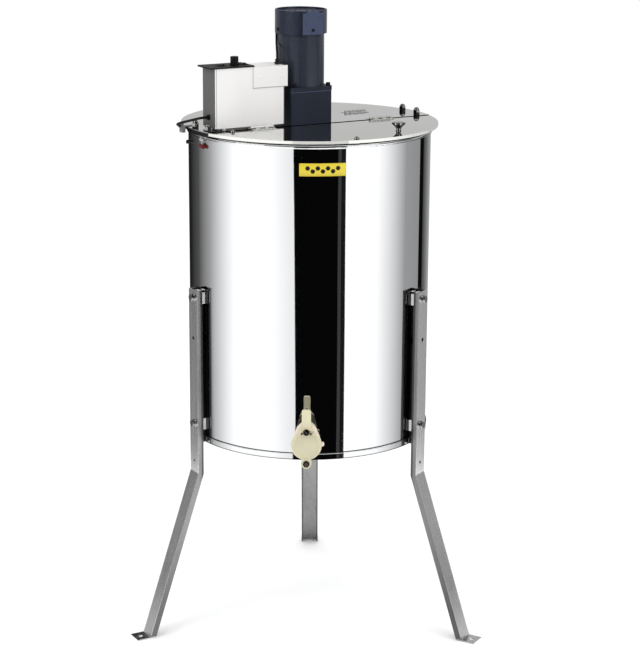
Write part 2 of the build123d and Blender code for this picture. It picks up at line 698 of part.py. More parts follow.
BODY_R = 47.6
STAY_Z = 1166.0                        # height of the screw that ties the motor to the control box
STAY_SCREW_R = 2.5
with BuildPart() as motor_body:
    with BuildSketch(Plane(origin=motor_plane(0).origin, x_dir=(1, 0, 0), z_dir=(0, -1, 0))):
        with BuildLine():
            Polyline(
                (MOTOR_BUSH_R + 3, MOTOR_Z),
                (BODY_R, MOTOR_Z),
                (BODY_R, BODY_TOP),
                (MOTOR_BUSH_R + FIT, BODY_TOP),
                (MOTOR_BUSH_R + FIT, BODY_TOP - 5),
                (STATOR_OUT_R + FIT, BODY_TOP - 5),
                (STATOR_OUT_R + FIT, MOTOR_Z + 6),
                (MOTOR_BUSH_R + 3, MOTOR_Z + 6),
                close=True,
            )
        make_face()
    revolve(axis=Axis(motor_plane(0).origin, (0, 0, 1)))
    with BuildSketch(motor_plane(BODY_TOP - 8)):
        with PolarLocations(26, 6):
            Circle(6)
    extrude(amount=10, mode=Mode.SUBTRACT)
    with BuildSketch(end_plane(MOTOR_A - BODY_R - 2)):
        with Locations((0, STAY_Z)):
            Circle(STAY_SCREW_R + FIT)
    extrude(amount=-6, mode=Mode.SUBTRACT)
finish(motor_body, "motor_body")

CAP_FLAT = 51.0                        # distance of the cap's flat pad from the motor axis
CAP_PAD_HALF = 24.0
GRILLE_TOP = 1289.0
LEAD_EXIT_ANGLE = 186.0                # where the motor's lead leaves under the fan cover, from +X
LEAD_EXIT_R = BODY_R + MOTOR_LEAD_R + 0.1


def lead_exit_plane(z):
    """Horizontal plane where the motor's lead goes up under the fan cover."""
    direction = radial_plane(LEAD_EXIT_ANGLE).x_dir
    return Plane(origin=motor_plane(z).origin + direction * LEAD_EXIT_R)


with BuildPart() as fan_cover:
    add_disc(motor_plane(CAP_Z), CAP_R, CAP_TOP - CAP_Z)
    fillet(fan_cover.edges().sort_by(Axis.Z)[-1], 1.5)
    with BuildSketch(motor_plane(CAP_Z)):
        with Locations((0, -CAP_FLAT / 2)):
            Rectangle(2 * CAP_PAD_HALF, CAP_FLAT)
    extrude(amount=CAP_TOP - CAP_Z - 4)
    cut_disc(motor_plane(GRILLE_TOP), CAP_R - 4, 10)
    cut_disc(motor_plane(BODY_TOP + 1), CAP_R - 2.5, GRILLE_TOP - 3 - BODY_TOP - 1)
    cut_disc(motor_plane(CAP_Z - 1), BODY_R + FIT, BODY_TOP + 3 - CAP_Z)
    with BuildSketch(motor_plane(CAP_Z - 1)):
        with Locations((0, -CAP_FLAT - 5)):
            Rectangle(2 * CAP_R, 10)
    extrude(amount=60, mode=Mode.SUBTRACT)
    cut_disc(lead_exit_plane(CAP_Z - 1), MOTOR_LEAD_R + FIT, 5)
    for ring_r, count, slot in ((14, 6, 9), (25, 10, 11), (36, 14, 11)):
        with BuildSketch(motor_plane(GRILLE_TOP - 5)):
            with PolarLocations(ring_r, count):
                SlotOverall(slot, 4.6, rotation=90)
        extrude(amount=10, mode=Mode.SUBTRACT)
finish(fan_cover, "fan_cover")

# Black screws: four through the gearbox flange, four in the fan cover, one in the motor's stay.
STAY_FLANGE_A = -77.2                  # left face of the stay's flange beside the motor
with BuildPart() as motor_screws:
    for i in (-1, 1):
        for j in (-1, 1):
            corner = beam_plane(0, MOTOR_A + i * SCREW_SPREAD / 2, j * SCREW_SPREAD / 2)
            add_disc(corner.offset(MOTOR_Z), 4.5, 6)
            add_disc(corner.offset(COVER_Z - 0.01), 2.5, MOTOR_Z - COVER_Z + 0.1)
            with BuildSketch(corner.offset(MOTOR_Z + 3)):
                RegularPolygon(2, 6, major_radius=False)
            extrude(amount=4, mode=Mode.SUBTRACT)
    for turn in range(4):
        screw_r = CAP_FLAT if turn == 0 else CAP_R
        face = outward_plane(BEAM_ANGLE - 90 + 90 * turn, 0, CAP_Z + 9)
        seat = Plane(origin=face.origin + motor_plane(0).origin, x_dir=face.x_dir, z_dir=face.z_dir)
        add_disc(seat.offset(screw_r + 0.02), 3.2, 1.6)
    with BuildSketch(end_plane(STAY_FLANGE_A - 0.02)):
        with Locations((0, STAY_Z)):
            RegularPolygon(4.5, 6, major_radius=False)
    extrude(amount=4)
    with BuildSketch(end_plane(STAY_FLANGE_A - 1)):
        with Locations((0, STAY_Z)):
            Circle(STAY_SCREW_R)
    extrude(amount=STAY_FLANGE_A - 1 - MOTOR_A + BODY_R - 3.5)
finish(motor_screws, "motor_screws")

# ---------------------------------------------------------------- control box
COVER_SHEET = 1.2
COVER_LIP = 7.0
WALL_LEFT = BOX_LEFT + COVER_SHEET + 0.1
WALL_RIGHT = BOX_RIGHT - COVER_SHEET - 0.1
WALL_FRONT = BOX_FRONT - COVER_SHEET - 0.1
WALL_REAR = BOX_FRONT - BOX_DEPTH
OPENING_RIGHT = -156.0
GLAND_FRONT = 13.5
GLAND_THREAD_R = 3.8
TOP_GLAND_A = -91.5
TOP_GLAND_FRONT = 28.0
TOP_THREAD_R = 3.6
RIVETS = ((-138.5, 1167.0), (-90.0, 1167.0))
RIVET_R = 1.6
GLAND_Z = 1088.0
PANEL_LEFT = -249.0
PANEL_RIGHT = -151.0
PANEL_SHEET = 3.0
KNOB_POT_A = -183.0
KNOB_POT_FRONT = 18.0
POT_SHAFT_R = 3.0
ROCKERS = {"power_rocker": -213.0, "direction_rocker": -164.0}
ROCKER_R = 7.0
ROCKER_HALF_WIDTH = 4.5
ROCKER_Z = BOX_TOP + 1.0


def box_rectangle(z, left, right, rear, front):
    """Sketch plane and size of a rectangle given by its sides in the beam's frame."""
    plane = beam_plane(z, (left + right) / 2, (rear + front) / 2)
    return plane, right - left, front - rear


def add_block(low, high, left, right, rear, front, mode=Mode.ADD):
    """Extrude one square-cornered block given by its sides in the beam's frame."""
    plane, length, depth = box_rectangle(low, left, right, rear, front)
    with BuildSketch(plane) as profile:
        Rectangle(length, depth)
    extrude(profile.sketch, amount=high - low, mode=mode)


with BuildPart() as control_box:
    add_block(BOX_BOTTOM, BOX_TOP, WALL_LEFT, WALL_RIGHT, WALL_REAR, WALL_FRONT)
    add_block(
        BOX_BOTTOM + BOX_SHEET,
        BOX_TOP - BOX_SHEET,
        WALL_LEFT + BOX_SHEET,
        WALL_RIGHT - BOX_SHEET,
        WALL_REAR + BOX_SHEET,
        WALL_FRONT + 1,
        mode=Mode.SUBTRACT,
    )
    add_block(
        BOX_TOP - 3, BOX_TOP + 1, WALL_LEFT + 6, OPENING_RIGHT, WALL_REAR + 6, 34, mode=Mode.SUBTRACT
    )
    for foot_a in (-215.0, -105.0):
        for foot_front in (-6.0, 30.0):
            add_disc(beam_plane(BEAM_TOP + 0.02, foot_a, foot_front), 6, BOX_BOTTOM - BEAM_TOP)
    with BuildSketch(end_plane(WALL_LEFT - 1)):
        with Locations((GLAND_FRONT, GLAND_Z)):
            Circle(GLAND_THREAD_R + FIT)
    extrude(amount=-4, mode=Mode.SUBTRACT)
    cut_disc(beam_plane(BOX_TOP - 4, TOP_GLAND_A, TOP_GLAND_FRONT), TOP_THREAD_R + FIT, 6)
finish(control_box, "control_box")

with BuildPart() as control_cover:
    add_block(BOX_BOTTOM, BOX_TOP, BOX_LEFT, BOX_RIGHT, BOX_FRONT - COVER_LIP, BOX_FRONT)
    add_block(
        BOX_BOTTOM - 1,
        BOX_TOP + 1,
        BOX_LEFT + COVER_SHEET,
        BOX_RIGHT - COVER_SHEET,
        BOX_FRONT - COVER_LIP - 1,
        BOX_FRONT - COVER_SHEET,
        mode=Mode.SUBTRACT,
    )
    with BuildSketch(face_plane(BOX_FRONT - 5)):
        with Locations(*RIVETS):
            Circle(RIVET_R + FIT)
    extrude(amount=10, mode=Mode.SUBTRACT)
finish(control_cover, "control_cover")

with BuildPart() as control_panel:
    add_block(BOX_TOP + 0.02, BOX_TOP + PANEL_SHEET, PANEL_LEFT, PANEL_RIGHT, WALL_REAR - 2, BOX_FRONT + 2)
    fillet(control_panel.edges().filter_by(Axis.Z), 2.5)
    cut_disc(beam_plane(BOX_TOP - 1, KNOB_POT_A, KNOB_POT_FRONT), POT_SHAFT_R + 1, 6)
    for rocker_a in ROCKERS.values():
        bezel_left = rocker_a - ROCKER_R - 2.5
        bezel_right = rocker_a + ROCKER_R + 2.5
        bezel_rear = KNOB_POT_FRONT - ROCKER_HALF_WIDTH - 2
        bezel_front = KNOB_POT_FRONT + ROCKER_HALF_WIDTH + 2
        add_block(BOX_TOP + 1, BOX_TOP + 4, bezel_left, bezel_right, bezel_rear, bezel_front)
        add_block(
            BOX_TOP - 1,
            BOX_TOP + 5,
            rocker_a - ROCKER_R - GAP,
            rocker_a + ROCKER_R + GAP,
            KNOB_POT_FRONT - ROCKER_HALF_WIDTH - GAP,
            KNOB_POT_FRONT + ROCKER_HALF_WIDTH + GAP,
            mode=Mode.SUBTRACT,
        )
finish(control_panel, "control_panel")

for rocker_name, rocker_a in ROCKERS.items():
    with BuildPart() as rocker:
        with BuildSketch(face_plane(KNOB_POT_FRONT - ROCKER_HALF_WIDTH)):
            with BuildLine():
                Polyline(
                    (rocker_a - 8, ROCKER_Z - 4),
                    (rocker_a + 8, ROCKER_Z - 4),
                    (rocker_a + 8, ROCKER_Z + 6.4),
                    (rocker_a, ROCKER_Z + 4.2),
                    (rocker_a - 8, ROCKER_Z + 4.2),
                    close=True,
                )
            make_face()
            with Locations((rocker_a, ROCKER_Z)):
                Circle(ROCKER_R, mode=Mode.INTERSECT)
        extrude(amount=2 * ROCKER_HALF_WIDTH)
    finish(rocker, rocker_name)

KNOB_BASE_Z = BOX_TOP + PANEL_SHEET + 0.5
KNOB_TOP_Z = 1207.0
with BuildPart() as speed_knob:
    knob_plane = beam_plane(KNOB_BASE_Z, KNOB_POT_A, KNOB_POT_FRONT)
    add_disc(knob_plane, 9.5, 3)
    add_disc(knob_plane, 8.2, KNOB_TOP_Z - KNOB_BASE_Z)
    fillet(speed_knob.edges().filter_by(GeomType.CIRCLE).sort_by(Axis.Z)[-1], 1.0)
    with BuildSketch(knob_plane.offset(4)):
        with PolarLocations(8.6, 18):
            Circle(0.8)
    extrude(amount=20, mode=Mode.SUBTRACT)
    cut_disc(knob_plane.offset(-1), POT_SHAFT_R + FIT, 11)
finish(speed_knob, "speed_knob")

with BuildPart() as control_board:
    add_block(1084, 1166, -226, -108, -2, -0.4)
    add_block(1100, 1130, -215, -170, -0.5, 16)
    add_block(1096, 1146, -160, -120, -0.5, 22)
    pot_plane = beam_plane(1172, KNOB_POT_A, KNOB_POT_FRONT)
    add_disc(pot_plane, 8, BOX_TOP - 0.5 - 1172)
    add_disc(pot_plane, POT_SHAFT_R, KNOB_BASE_Z + 9 - 1172)
finish(control_board, "control_board")

STAY_SHEET = 1.2
STAY_LEFT = -154.0
STAY_LOW = 1144.0
STAY_FACE = BOX_FRONT + 0.02
STAY_REAR = -14.0
with BuildPart() as motor_bracket:
    stay_right = STAY_FLANGE_A + STAY_SHEET
    add_block(STAY_LOW, BOX_TOP - 0.5, STAY_LEFT, stay_right, STAY_FACE, STAY_FACE + STAY_SHEET)
    add_block(STAY_LOW, BOX_TOP - 0.5, STAY_FLANGE_A, stay_right, STAY_REAR, STAY_FACE + STAY_SHEET)
    with BuildSketch(end_plane(STAY_FLANGE_A)):
        with Locations((0, STAY_Z)):
            Circle(8)
    extrude(amount=STAY_FLANGE_A + 20 - MOTOR_A)
    cut_disc(motor_plane(STAY_LOW - 1), BODY_R + 0.02, 60)
    with BuildSketch(end_plane(STAY_FLANGE_A - 1)):
        with Locations((0, STAY_Z)):
            Circle(STAY_SCREW_R + FIT)
    extrude(amount=-20, mode=Mode.SUBTRACT)
    with BuildSketch(face_plane(BOX_FRONT - 5)):
        with Locations(*RIVETS):
            Circle(RIVET_R + FIT)
    extrude(amount=10, mode=Mode.SUBTRACT)
finish(motor_bracket, "motor_bracket")

with BuildPart() as bracket_rivets:
    for rivet in RIVETS:
        with BuildSketch(face_plane(BOX_FRONT - 2)):
            with Locations(rivet):
                Circle(RIVET_R)
        extrude(amount=2 + STAY_SHEET + 0.5)
        with BuildSketch(face_plane(STAY_FACE + STAY_SHEET + 0.02)):
            with Locations(rivet):
                Circle(3.0)
        extrude(amount=1.0, taper=30)
finish(bracket_rivets, "bracket_rivets")

# ---------------------------------------------------------------- glands, leads and lid switch
WALL_GLAND_ANGLE = 194.0
WALL_GLAND_Z = 1027.0
with BuildPart() as cable_glands:
    box_seat = end_plane(WALL_LEFT + 2)
    gland_spot = (GLAND_FRONT, GLAND_Z)
    for low, height, size in ((0, 4, GLAND_THREAD_R), (2.02, 2.4, 5.6), (4.4, 3.2, 4.7)):
        with BuildSketch(box_seat.offset(low)):
            with Locations(gland_spot):
                Circle(size)
        extrude(amount=height)
    with BuildSketch(box_seat.offset(-1)):
        with Locations(gland_spot):
            Circle(CABLE_R + FIT)
    extrude(amount=20, mode=Mode.SUBTRACT)
    top_seat = beam_plane(BOX_TOP, TOP_GLAND_A, TOP_GLAND_FRONT)
    add_disc(top_seat.offset(-3), TOP_THREAD_R, 4)
    with BuildSketch(top_seat.offset(0.02)):
        RegularPolygon(4.8, 6, major_radius=False)
    extrude(amount=4.5)
    add_disc(top_seat.offset(4), 4.2, 6.5)
    cut_disc(top_seat.offset(-5), MOTOR_LEAD_R + FIT, 20)
    wall_seat = outward_plane(WALL_GLAND_ANGLE, DRUM_R + 0.4, WALL_GLAND_Z)
    with BuildSketch(wall_seat):
        RegularPolygon(4.8, 6, major_radius=False)
    extrude(amount=3.5)
    with BuildSketch(wall_seat.offset(3.5)):
        Circle(3.9)
    extrude(amount=4)
finish(cable_glands, "cable_glands")


def add_lead(points, radius):
    """Sweep one lead along straight runs joined by bends as wide as the runs allow."""
    bends = []
    for before, corner, after in zip(points, points[1:], points[2:]):
        turn = math.radians((corner - before).get_angle(after - corner))
        shorter = min((corner - before).length, (after - corner).length)
        bends.append(0.45 * shorter / math.tan(turn / 2))
    with BuildLine() as path:
        FilletPolyline(*points, radius=bends)
    with BuildSketch(Plane(origin=points[0], z_dir=points[1] - points[0])) as profile:
        Circle(radius)
    sweep(profile.sketch, path=path.wires()[0])
    length = sum(edge.length for edge in path.edges())
    print("lead", round(length, 1), "mm, bends", [round(bend, 1) for bend in bends])
    return length


# The lid switch's lead and the motor's lead, both held by a gland at the box.
SENSOR_ROUTE = (
    (WALL_LEFT - 1, GLAND_FRONT, GLAND_Z),
    (-256.0, GLAND_FRONT, GLAND_Z),
    (-292.0, -26.0, 1073.0),
    (-273.0, -49.0, 1065.0),
)
MOTOR_LEAD_BENDS_Z = (1206.0, 1226.0)
with BuildPart() as leads:
    sensor_points = [beam_plane(z, a, front).origin for a, front, z in SENSOR_ROUTE]
    sensor_length = add_lead(sensor_points, CABLE_R)
    motor_points = [
        beam_plane(BOX_TOP - 4, TOP_GLAND_A, TOP_GLAND_FRONT).origin,
        beam_plane(MOTOR_LEAD_BENDS_Z[0], TOP_GLAND_A, TOP_GLAND_FRONT).origin,
        lead_exit_plane(MOTOR_LEAD_BENDS_Z[1]).origin,
        lead_exit_plane(CAP_Z + 3).origin,
    ]
    motor_length = add_lead(motor_points, MOTOR_LEAD_R)
    expected = math.pi * (sensor_length * CABLE_R**2 + motor_length * MOTOR_LEAD_R**2)
    print("leads' volume over length times section", round(leads.part.volume / expected, 4))
finish(leads, "leads")

SENSOR_FRONT = -45.0
with BuildPart() as lid_sensor:
    add_block(1052.0, 1066.0, -272.5, -265.6, SENSOR_FRONT - 7, SENSOR_FRONT + 7)
    add_block(BEAM_TOP + 0.02, BEAM_TOP + 1.2, -270, -244, SENSOR_FRONT - 4.5, SENSOR_FRONT + 6)
    boot_plane = Plane(origin=sensor_points[-1], z_dir=sensor_points[-1] - sensor_points[-2])
    add_disc(boot_plane, 4.0, 7)
    add_block(1065, 1070, -272, -266.5, SENSOR_FRONT - 3, SENSOR_FRONT + 1)
finish(lid_sensor, "lid_sensor")

EARTH_ANGLE = 213.0
with BuildPart() as earth_stud:
    with BuildSketch(outward_plane(EARTH_ANGLE, RIM_R + DRUM_R + 0.4, 1045.0)):
        Circle(5.2)
    extrude(amount=1.2)
    with BuildSketch(outward_plane(EARTH_ANGLE, RIM_R + DRUM_R + 1.5, 1045.0)):
        RegularPolygon(3.4, 6, major_radius=False)
    extrude(amount=3)
    with BuildSketch(outward_plane(EARTH_ANGLE, RIM_R + DRUM_R + 0.4, 1038.6)):
        Rectangle(3.6, 7)
    extrude(amount=1.0)
    with BuildSketch(outward_plane(EARTH_ANGLE, DRUM_R + 0.1, 1041.2)):
        Circle(1.9)
    extrude(amount=5)
finish(earth_stud, "earth_stud")

with BuildPart() as earth_sleeve:
    sleeve_low = outward_plane(EARTH_ANGLE, DRUM_R + 4.6, 1030.5)
    along = Plane(origin=sleeve_low.origin, x_dir=sleeve_low.z_dir, z_dir=sleeve_low.x_dir - sleeve_low.y_dir * 0.2)
    add_disc(along.offset(-8), 4.0, 15)
    fillet(earth_sleeve.edges(), 1.2)
finish(earth_sleeve, "earth_sleeve")

# ---------------------------------------------------------------- honey gate
BORE_R = 18.0
NECK_R = 21.0
FLANGE_R = 30.7
SHOULDER_OUT = 11.5
SHOULDER_RISE = 33.0
NECK_RISE = 47.0
FLANGE_SHEET = 7.0
EAR_R = 10.5
PLATE_Y = GATE_FACE_Y - 0.3
PLATE_SHEET = 7.0
RAISED_FACE = 1.6     # the disc and the pad under the wing nut stand proud of the plate
RAISED_R = 24.5
PAD_R = 8.5
STUD_OUT = PLATE_SHEET + 7.0
with BuildPart() as gate_body:
    with BuildSketch(front_plane(GATE_Z, -236)):
        Circle(NECK_R)
    extrude(amount=-GATE_FACE_Y - 236)
    with BuildSketch(front_plane(GATE_Z, -257)):
        Circle(27.5)
    extrude(amount=-GATE_FACE_Y - 257)
    with BuildSketch(front_plane(0, GATE_FACE_Y + FLANGE_SHEET)):
        with Locations((0, GATE_Z)):
            Circle(FLANGE_R)
        with Locations((0, GATE_Z + NECK_RISE)):
            Circle(6)
        with Locations((SHOULDER_OUT, GATE_Z + SHOULDER_RISE), (-SHOULDER_OUT, GATE_Z + SHOULDER_RISE)):
            Circle(8)
        make_hull()
        with Locations((0, GATE_PIVOT_Z)):
            Circle(EAR_R)
        with Locations((0, (GATE_Z + GATE_PIVOT_Z) / 2)):
            Rectangle(2 * EAR_R - 2, GATE_Z - GATE_PIVOT_Z)
        with Locations((FLANGE_R + 1, GATE_Z + 2)):
            Circle(4)
    extrude(amount=FLANGE_SHEET)
    with BuildSketch(front_plane(0, GATE_FACE_Y)):
        with Locations((0, GATE_CLAMP_Z)):
            Circle(3.0)
        with Locations((0, GATE_PIVOT_Z)):
            Circle(4.0)
    extrude(amount=STUD_OUT)
    with BuildSketch(front_plane(GATE_Z, -230)):
        Circle(BORE_R)
    extrude(amount=80, mode=Mode.SUBTRACT)
finish(gate_body, "gate_body")

with BuildPart() as gate_seal:
    with BuildSketch(front_plane(GATE_Z, -246)):
        Circle(27)
        Circle(NECK_R + FIT, mode=Mode.SUBTRACT)
    extrude(amount=10.98)
    with BuildSketch(Plane.XY.offset(GATE_Z - 40)):
        Circle(DRUM_R + FIT)
    extrude(amount=80, mode=Mode.SUBTRACT)
    with BuildSketch(Plane.XY.offset(SKIRT_TOP + FIT)):
        Rectangle(100, 600)
    extrude(amount=-20, mode=Mode.SUBTRACT)
finish(gate_seal, "gate_seal")

with BuildPart() as gate_nut:
    with BuildSketch(front_plane(GATE_Z, -238)):
        RegularPolygon(28, 6, major_radius=False)
        Circle(NECK_R + FIT, mode=Mode.SUBTRACT)
    extrude(amount=8)
    with BuildSketch(Plane.XY.offset(FLOOR_EDGE_Z - 30)):
        Circle(DRUM_IN_R - 2)
    extrude(amount=120, mode=Mode.INTERSECT)
    with BuildSketch(Plane.XY.offset(FLOOR_EDGE_Z + 1.2)):
        Rectangle(100, 600)
    extrude(amount=-20, mode=Mode.SUBTRACT)
finish(gate_nut, "gate_nut")

HANDLE_HALF = 9.2
HANDLE_TOP = 530.3
HANDLE_ROOT_Z = GATE_Z + 40.0
PLATE_R = 28.5
with BuildPart() as gate_plate:
    with BuildSketch(front_plane(0, PLATE_Y)):
        with Locations((0, GATE_Z)):
            Circle(PLATE_R)
        with Locations((0, GATE_PIVOT_Z)):
            Circle(EAR_R)
        with Locations((0, (GATE_Z + GATE_PIVOT_Z) / 2)):
            Rectangle(2 * EAR_R - 2, GATE_Z - GATE_PIVOT_Z)
        with Locations((0, (GATE_Z + HANDLE_TOP) / 2)):
            RectangleRounded(2 * HANDLE_HALF, HANDLE_TOP - GATE_Z, 4.5)
        with BuildLine():
            Polyline(
                (-HANDLE_HALF, HANDLE_ROOT_Z),
                (HANDLE_HALF, HANDLE_ROOT_Z),
                (0.6 * PLATE_R, GATE_Z + 0.8 * PLATE_R),
                (-0.6 * PLATE_R, GATE_Z + 0.8 * PLATE_R),
                close=True,
            )
        make_face()
    extrude(amount=PLATE_SHEET)
    with BuildSketch(front_plane(0, PLATE_Y - PLATE_SHEET + 0.02)):
        with Locations((0, GATE_Z)):
            Circle(RAISED_R)
        with Locations((0, GATE_CLAMP_Z)):
            Circle(PAD_R)
    extrude(amount=RAISED_FACE)
    with BuildSketch(front_plane(0, PLATE_Y + 1)):
        with Locations((0, GATE_PIVOT_Z)):
            Circle(4.0 + FIT)
        with BuildLine():
            swing_r = GATE_CLAMP_Z - GATE_PIVOT_Z
            RadiusArc((0, GATE_CLAMP_Z), (24, GATE_PIVOT_Z + math.sqrt(swing_r**2 - 24**2)), swing_r)
        trace(line_width=7.2)
        with Locations((0, GATE_CLAMP_Z)):
            Circle(3.6)
    extrude(amount=PLATE_SHEET + RAISED_FACE + 2, mode=Mode.SUBTRACT)
finish(gate_plate, "gate_plate")

HARDWARE_Y = PLATE_Y - PLATE_SHEET - 0.1
with BuildPart() as gate_pivot_nut:
    with BuildSketch(front_plane(GATE_PIVOT_Z, HARDWARE_Y)):
        Circle(6.6)
        Circle(4.0 + 0.01, mode=Mode.SUBTRACT)
    extrude(amount=1.2)
    with BuildSketch(front_plane(GATE_PIVOT_Z, HARDWARE_Y - 1.2)):
        RegularPolygon(5.6, 6, major_radius=False)
        Circle(4.0 + 0.01, mode=Mode.SUBTRACT)
    extrude(amount=4)
finish(gate_pivot_nut, "gate_pivot_nut")

# Wing nut: washer face, round hub and two wings that lean outwards.
with BuildPart() as clamp_knob:
    knob_seat = front_plane(GATE_CLAMP_Z, HARDWARE_Y - RAISED_FACE)
    with BuildSketch(knob_seat):
        Circle(6.5)
    extrude(amount=1.5)
    with BuildSketch(knob_seat.offset(1.5)):
        Circle(4.9)
    extrude(amount=5)
    with BuildSketch(Plane(origin=knob_seat.origin, x_dir=(1, 0, 0), z_dir=(0, 0, 1))):
        for wing in (1, -1):
            with BuildLine():
                Polyline(
                    (wing * 3.8, -2.0),
                    (wing * 7.2, -3.5),
                    (wing * 11.0, -9.0),
                    (wing * 10.0, -11.0),
                    (wing * 7.6, -11.0),
                    (wing * 3.8, -6.2),
                    close=True,
                )
            make_face()
    extrude(amount=1.6, both=True)
    with BuildSketch(knob_seat.offset(-1)):
        Circle(3.0 + FIT)
    extrude(amount=12, mode=Mode.SUBTRACT)
finish(clamp_knob, "clamp_knob")

# ---------------------------------------------------------------- coupling and cage
COUPLING_LOW = 1012.0
COUPLING_TOP = 1058.0
CAGE_SHAFT_TOP = 1034.0
with BuildPart() as shaft_coupling:
    add_disc(Plane.XY.offset(COUPLING_LOW), 15, COUPLING_TOP - COUPLING_LOW)
    cut_disc(Plane.XY.offset(COUPLING_LOW - 1), CAGE_SHAFT_R + 0.01, CAGE_SHAFT_TOP + 1 - COUPLING_LOW + 1)
    cut_disc(Plane.XY.offset(CAGE_SHAFT_TOP), OUTPUT_R + 0.01, 40)
    for z in (1020.0, 1048.0):
        with BuildSketch(outward_plane(0, 8.5, z)):
            Circle(2.5)
        extrude(amount=9, mode=Mode.SUBTRACT)
finish(shaft_coupling, "shaft_coupling")

with BuildPart() as cage_shaft:
    add_disc(Plane.XY.offset(PIVOT_BOTTOM), CAGE_SHAFT_R, CAGE_SHAFT_TOP - PIVOT_BOTTOM)
finish(cage_shaft, "cage_shaft")

RING_R = (231.0, 237.0)
PLATE_BORE_R = 143.0
HUB_R = 20.0
ARM_WIDTH = 22.0
TAB_OUT = (POCKET_INNER + POCKET_HALF) / math.sqrt(2)
TAB_LENGTH = 56.0
TAB_WIDTH = 12.0
with BuildPart() as cage_spiders:
    for low in (CAGE_LOW - BAR, CAGE_HIGH + BAR):
        with BuildSketch(Plane.XY.offset(low)):
            Circle(HUB_R)
            with PolarLocations(RING_R[1] / 2 - 1, 4, start_angle=45):
                Rectangle(RING_R[1] - 4, ARM_WIDTH)
            with PolarLocations(TAB_OUT, 4, start_angle=45):
                Rectangle(TAB_WIDTH, TAB_LENGTH)
            Circle(RING_R[1], mode=Mode.INTERSECT)
        extrude(amount=BAR)
        hub_low = low - 12 if low < CAGE_LOW else low
        add_disc(Plane.XY.offset(hub_low), HUB_R - 4, 16)
        cut_disc(Plane.XY.offset(low - 20), CAGE_SHAFT_R + 0.01, 60)
finish(cage_spiders, "cage_spiders")

with BuildPart() as cage_rings:
    with BuildSketch(Plane.XY.offset(CAGE_LOW)):
        Circle(RING_R[1])
        Circle(PLATE_BORE_R, mode=Mode.SUBTRACT)
        with PolarLocations(170, 24):
            Circle(11, mode=Mode.SUBTRACT)
        with PolarLocations(211, 24, start_angle=7.5):
            Circle(12, mode=Mode.SUBTRACT)
    extrude(amount=BAR)
    with BuildSketch(Plane.XY.offset(CAGE_HIGH)):
        Circle(RING_R[1])
        Circle(RING_R[0], mode=Mode.SUBTRACT)
    extrude(amount=BAR)
finish(cage_rings, "cage_rings")

ROD_R = 3.0
with BuildPart() as cage_uprights:
    for distance, top in ((POCKET_OUTER + 4, CAGE_HIGH), (POCKET_INNER, CAGE_HIGH + BAR)):
        with BuildSketch(Plane.XY.offset(CAGE_LOW + BAR)):
            for quarter in range(4):
                with Locations(Location((0, 0, 0), (0, 0, 90 * quarter))):
                    with Locations((distance, POCKET_HALF), (distance, -POCKET_HALF)):
                        Circle(ROD_R)
        extrude(amount=top - CAGE_LOW - BAR)
finish(cage_uprights, "cage_uprights")

SCREEN_SHEET = 1.2
SCREEN_COLUMNS = 5
SCREEN_ROWS = 10
with BuildPart() as cage_screens:
    height = CAGE_HIGH - CAGE_LOW - BAR
    for quarter in range(4):
        turn = 90 * quarter
        for distance in (POCKET_OUTER, POCKET_INNER):
            half = POCKET_HALF - ROD_R - 0.2 if distance == POCKET_INNER else POCKET_HALF
            with BuildSketch(outward_plane(turn, distance - SCREEN_SHEET / 2, CAGE_LOW + BAR + height / 2)):
                Rectangle(2 * half, height)
                pitch_x = (2 * half - 12) / SCREEN_COLUMNS
                pitch_y = (height - 12) / SCREEN_ROWS
                with GridLocations(pitch_x, pitch_y, SCREEN_COLUMNS, SCREEN_ROWS):
                    Rectangle(pitch_x - 4, pitch_y - 4, mode=Mode.SUBTRACT)
            extrude(amount=SCREEN_SHEET)
finish(cage_screens, "cage_screens")
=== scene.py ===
import math

import bmesh
import bpy
from mathutils import Matrix, Vector


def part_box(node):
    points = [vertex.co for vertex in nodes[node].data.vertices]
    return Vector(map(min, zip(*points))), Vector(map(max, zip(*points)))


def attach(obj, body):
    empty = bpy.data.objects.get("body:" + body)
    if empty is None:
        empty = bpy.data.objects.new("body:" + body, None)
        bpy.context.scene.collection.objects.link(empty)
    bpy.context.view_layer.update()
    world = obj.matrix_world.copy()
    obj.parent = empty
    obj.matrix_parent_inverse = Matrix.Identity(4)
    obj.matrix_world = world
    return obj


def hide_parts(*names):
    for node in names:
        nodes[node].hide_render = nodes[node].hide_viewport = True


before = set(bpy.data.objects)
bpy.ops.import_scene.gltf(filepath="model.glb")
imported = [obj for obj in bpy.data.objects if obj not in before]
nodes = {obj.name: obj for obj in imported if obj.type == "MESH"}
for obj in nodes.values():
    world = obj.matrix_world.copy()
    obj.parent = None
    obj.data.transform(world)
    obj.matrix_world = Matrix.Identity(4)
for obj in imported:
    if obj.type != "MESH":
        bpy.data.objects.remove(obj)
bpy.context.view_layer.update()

# ---------------------------------------------------------------- places, in metres
DRUM_R = 0.250
DRUM_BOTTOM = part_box("drum_wall")[0].z
SKIRT_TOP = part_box("base_band")[1].z
COVER_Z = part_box("gearbox_cover")[0].z
STAY_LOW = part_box("motor_bracket")[0].z
LEG_BEND_Z = 0.345
BEAM_ANGLE = math.radians(30)
ALONG = Vector((math.cos(BEAM_ANGLE), math.sin(BEAM_ANGLE), 0))
FRONT = Vector((math.sin(BEAM_ANGLE), -math.cos(BEAM_ANGLE), 0))
BACK = Vector((0, 1, 0))
UP = Vector((0, 0, 1))


def at_beam(a, front, z):
    """Point given along the beam, in front of its centre line, and by height."""
    return ALONG * a + FRONT * front + UP * z


def around(azimuth, radius, z):
    """Point on a circle round the drum; azimuth is in degrees from the front towards +X."""
    angle = math.radians(azimuth)
    return Vector((radius * math.sin(angle), -radius * math.cos(angle), z))


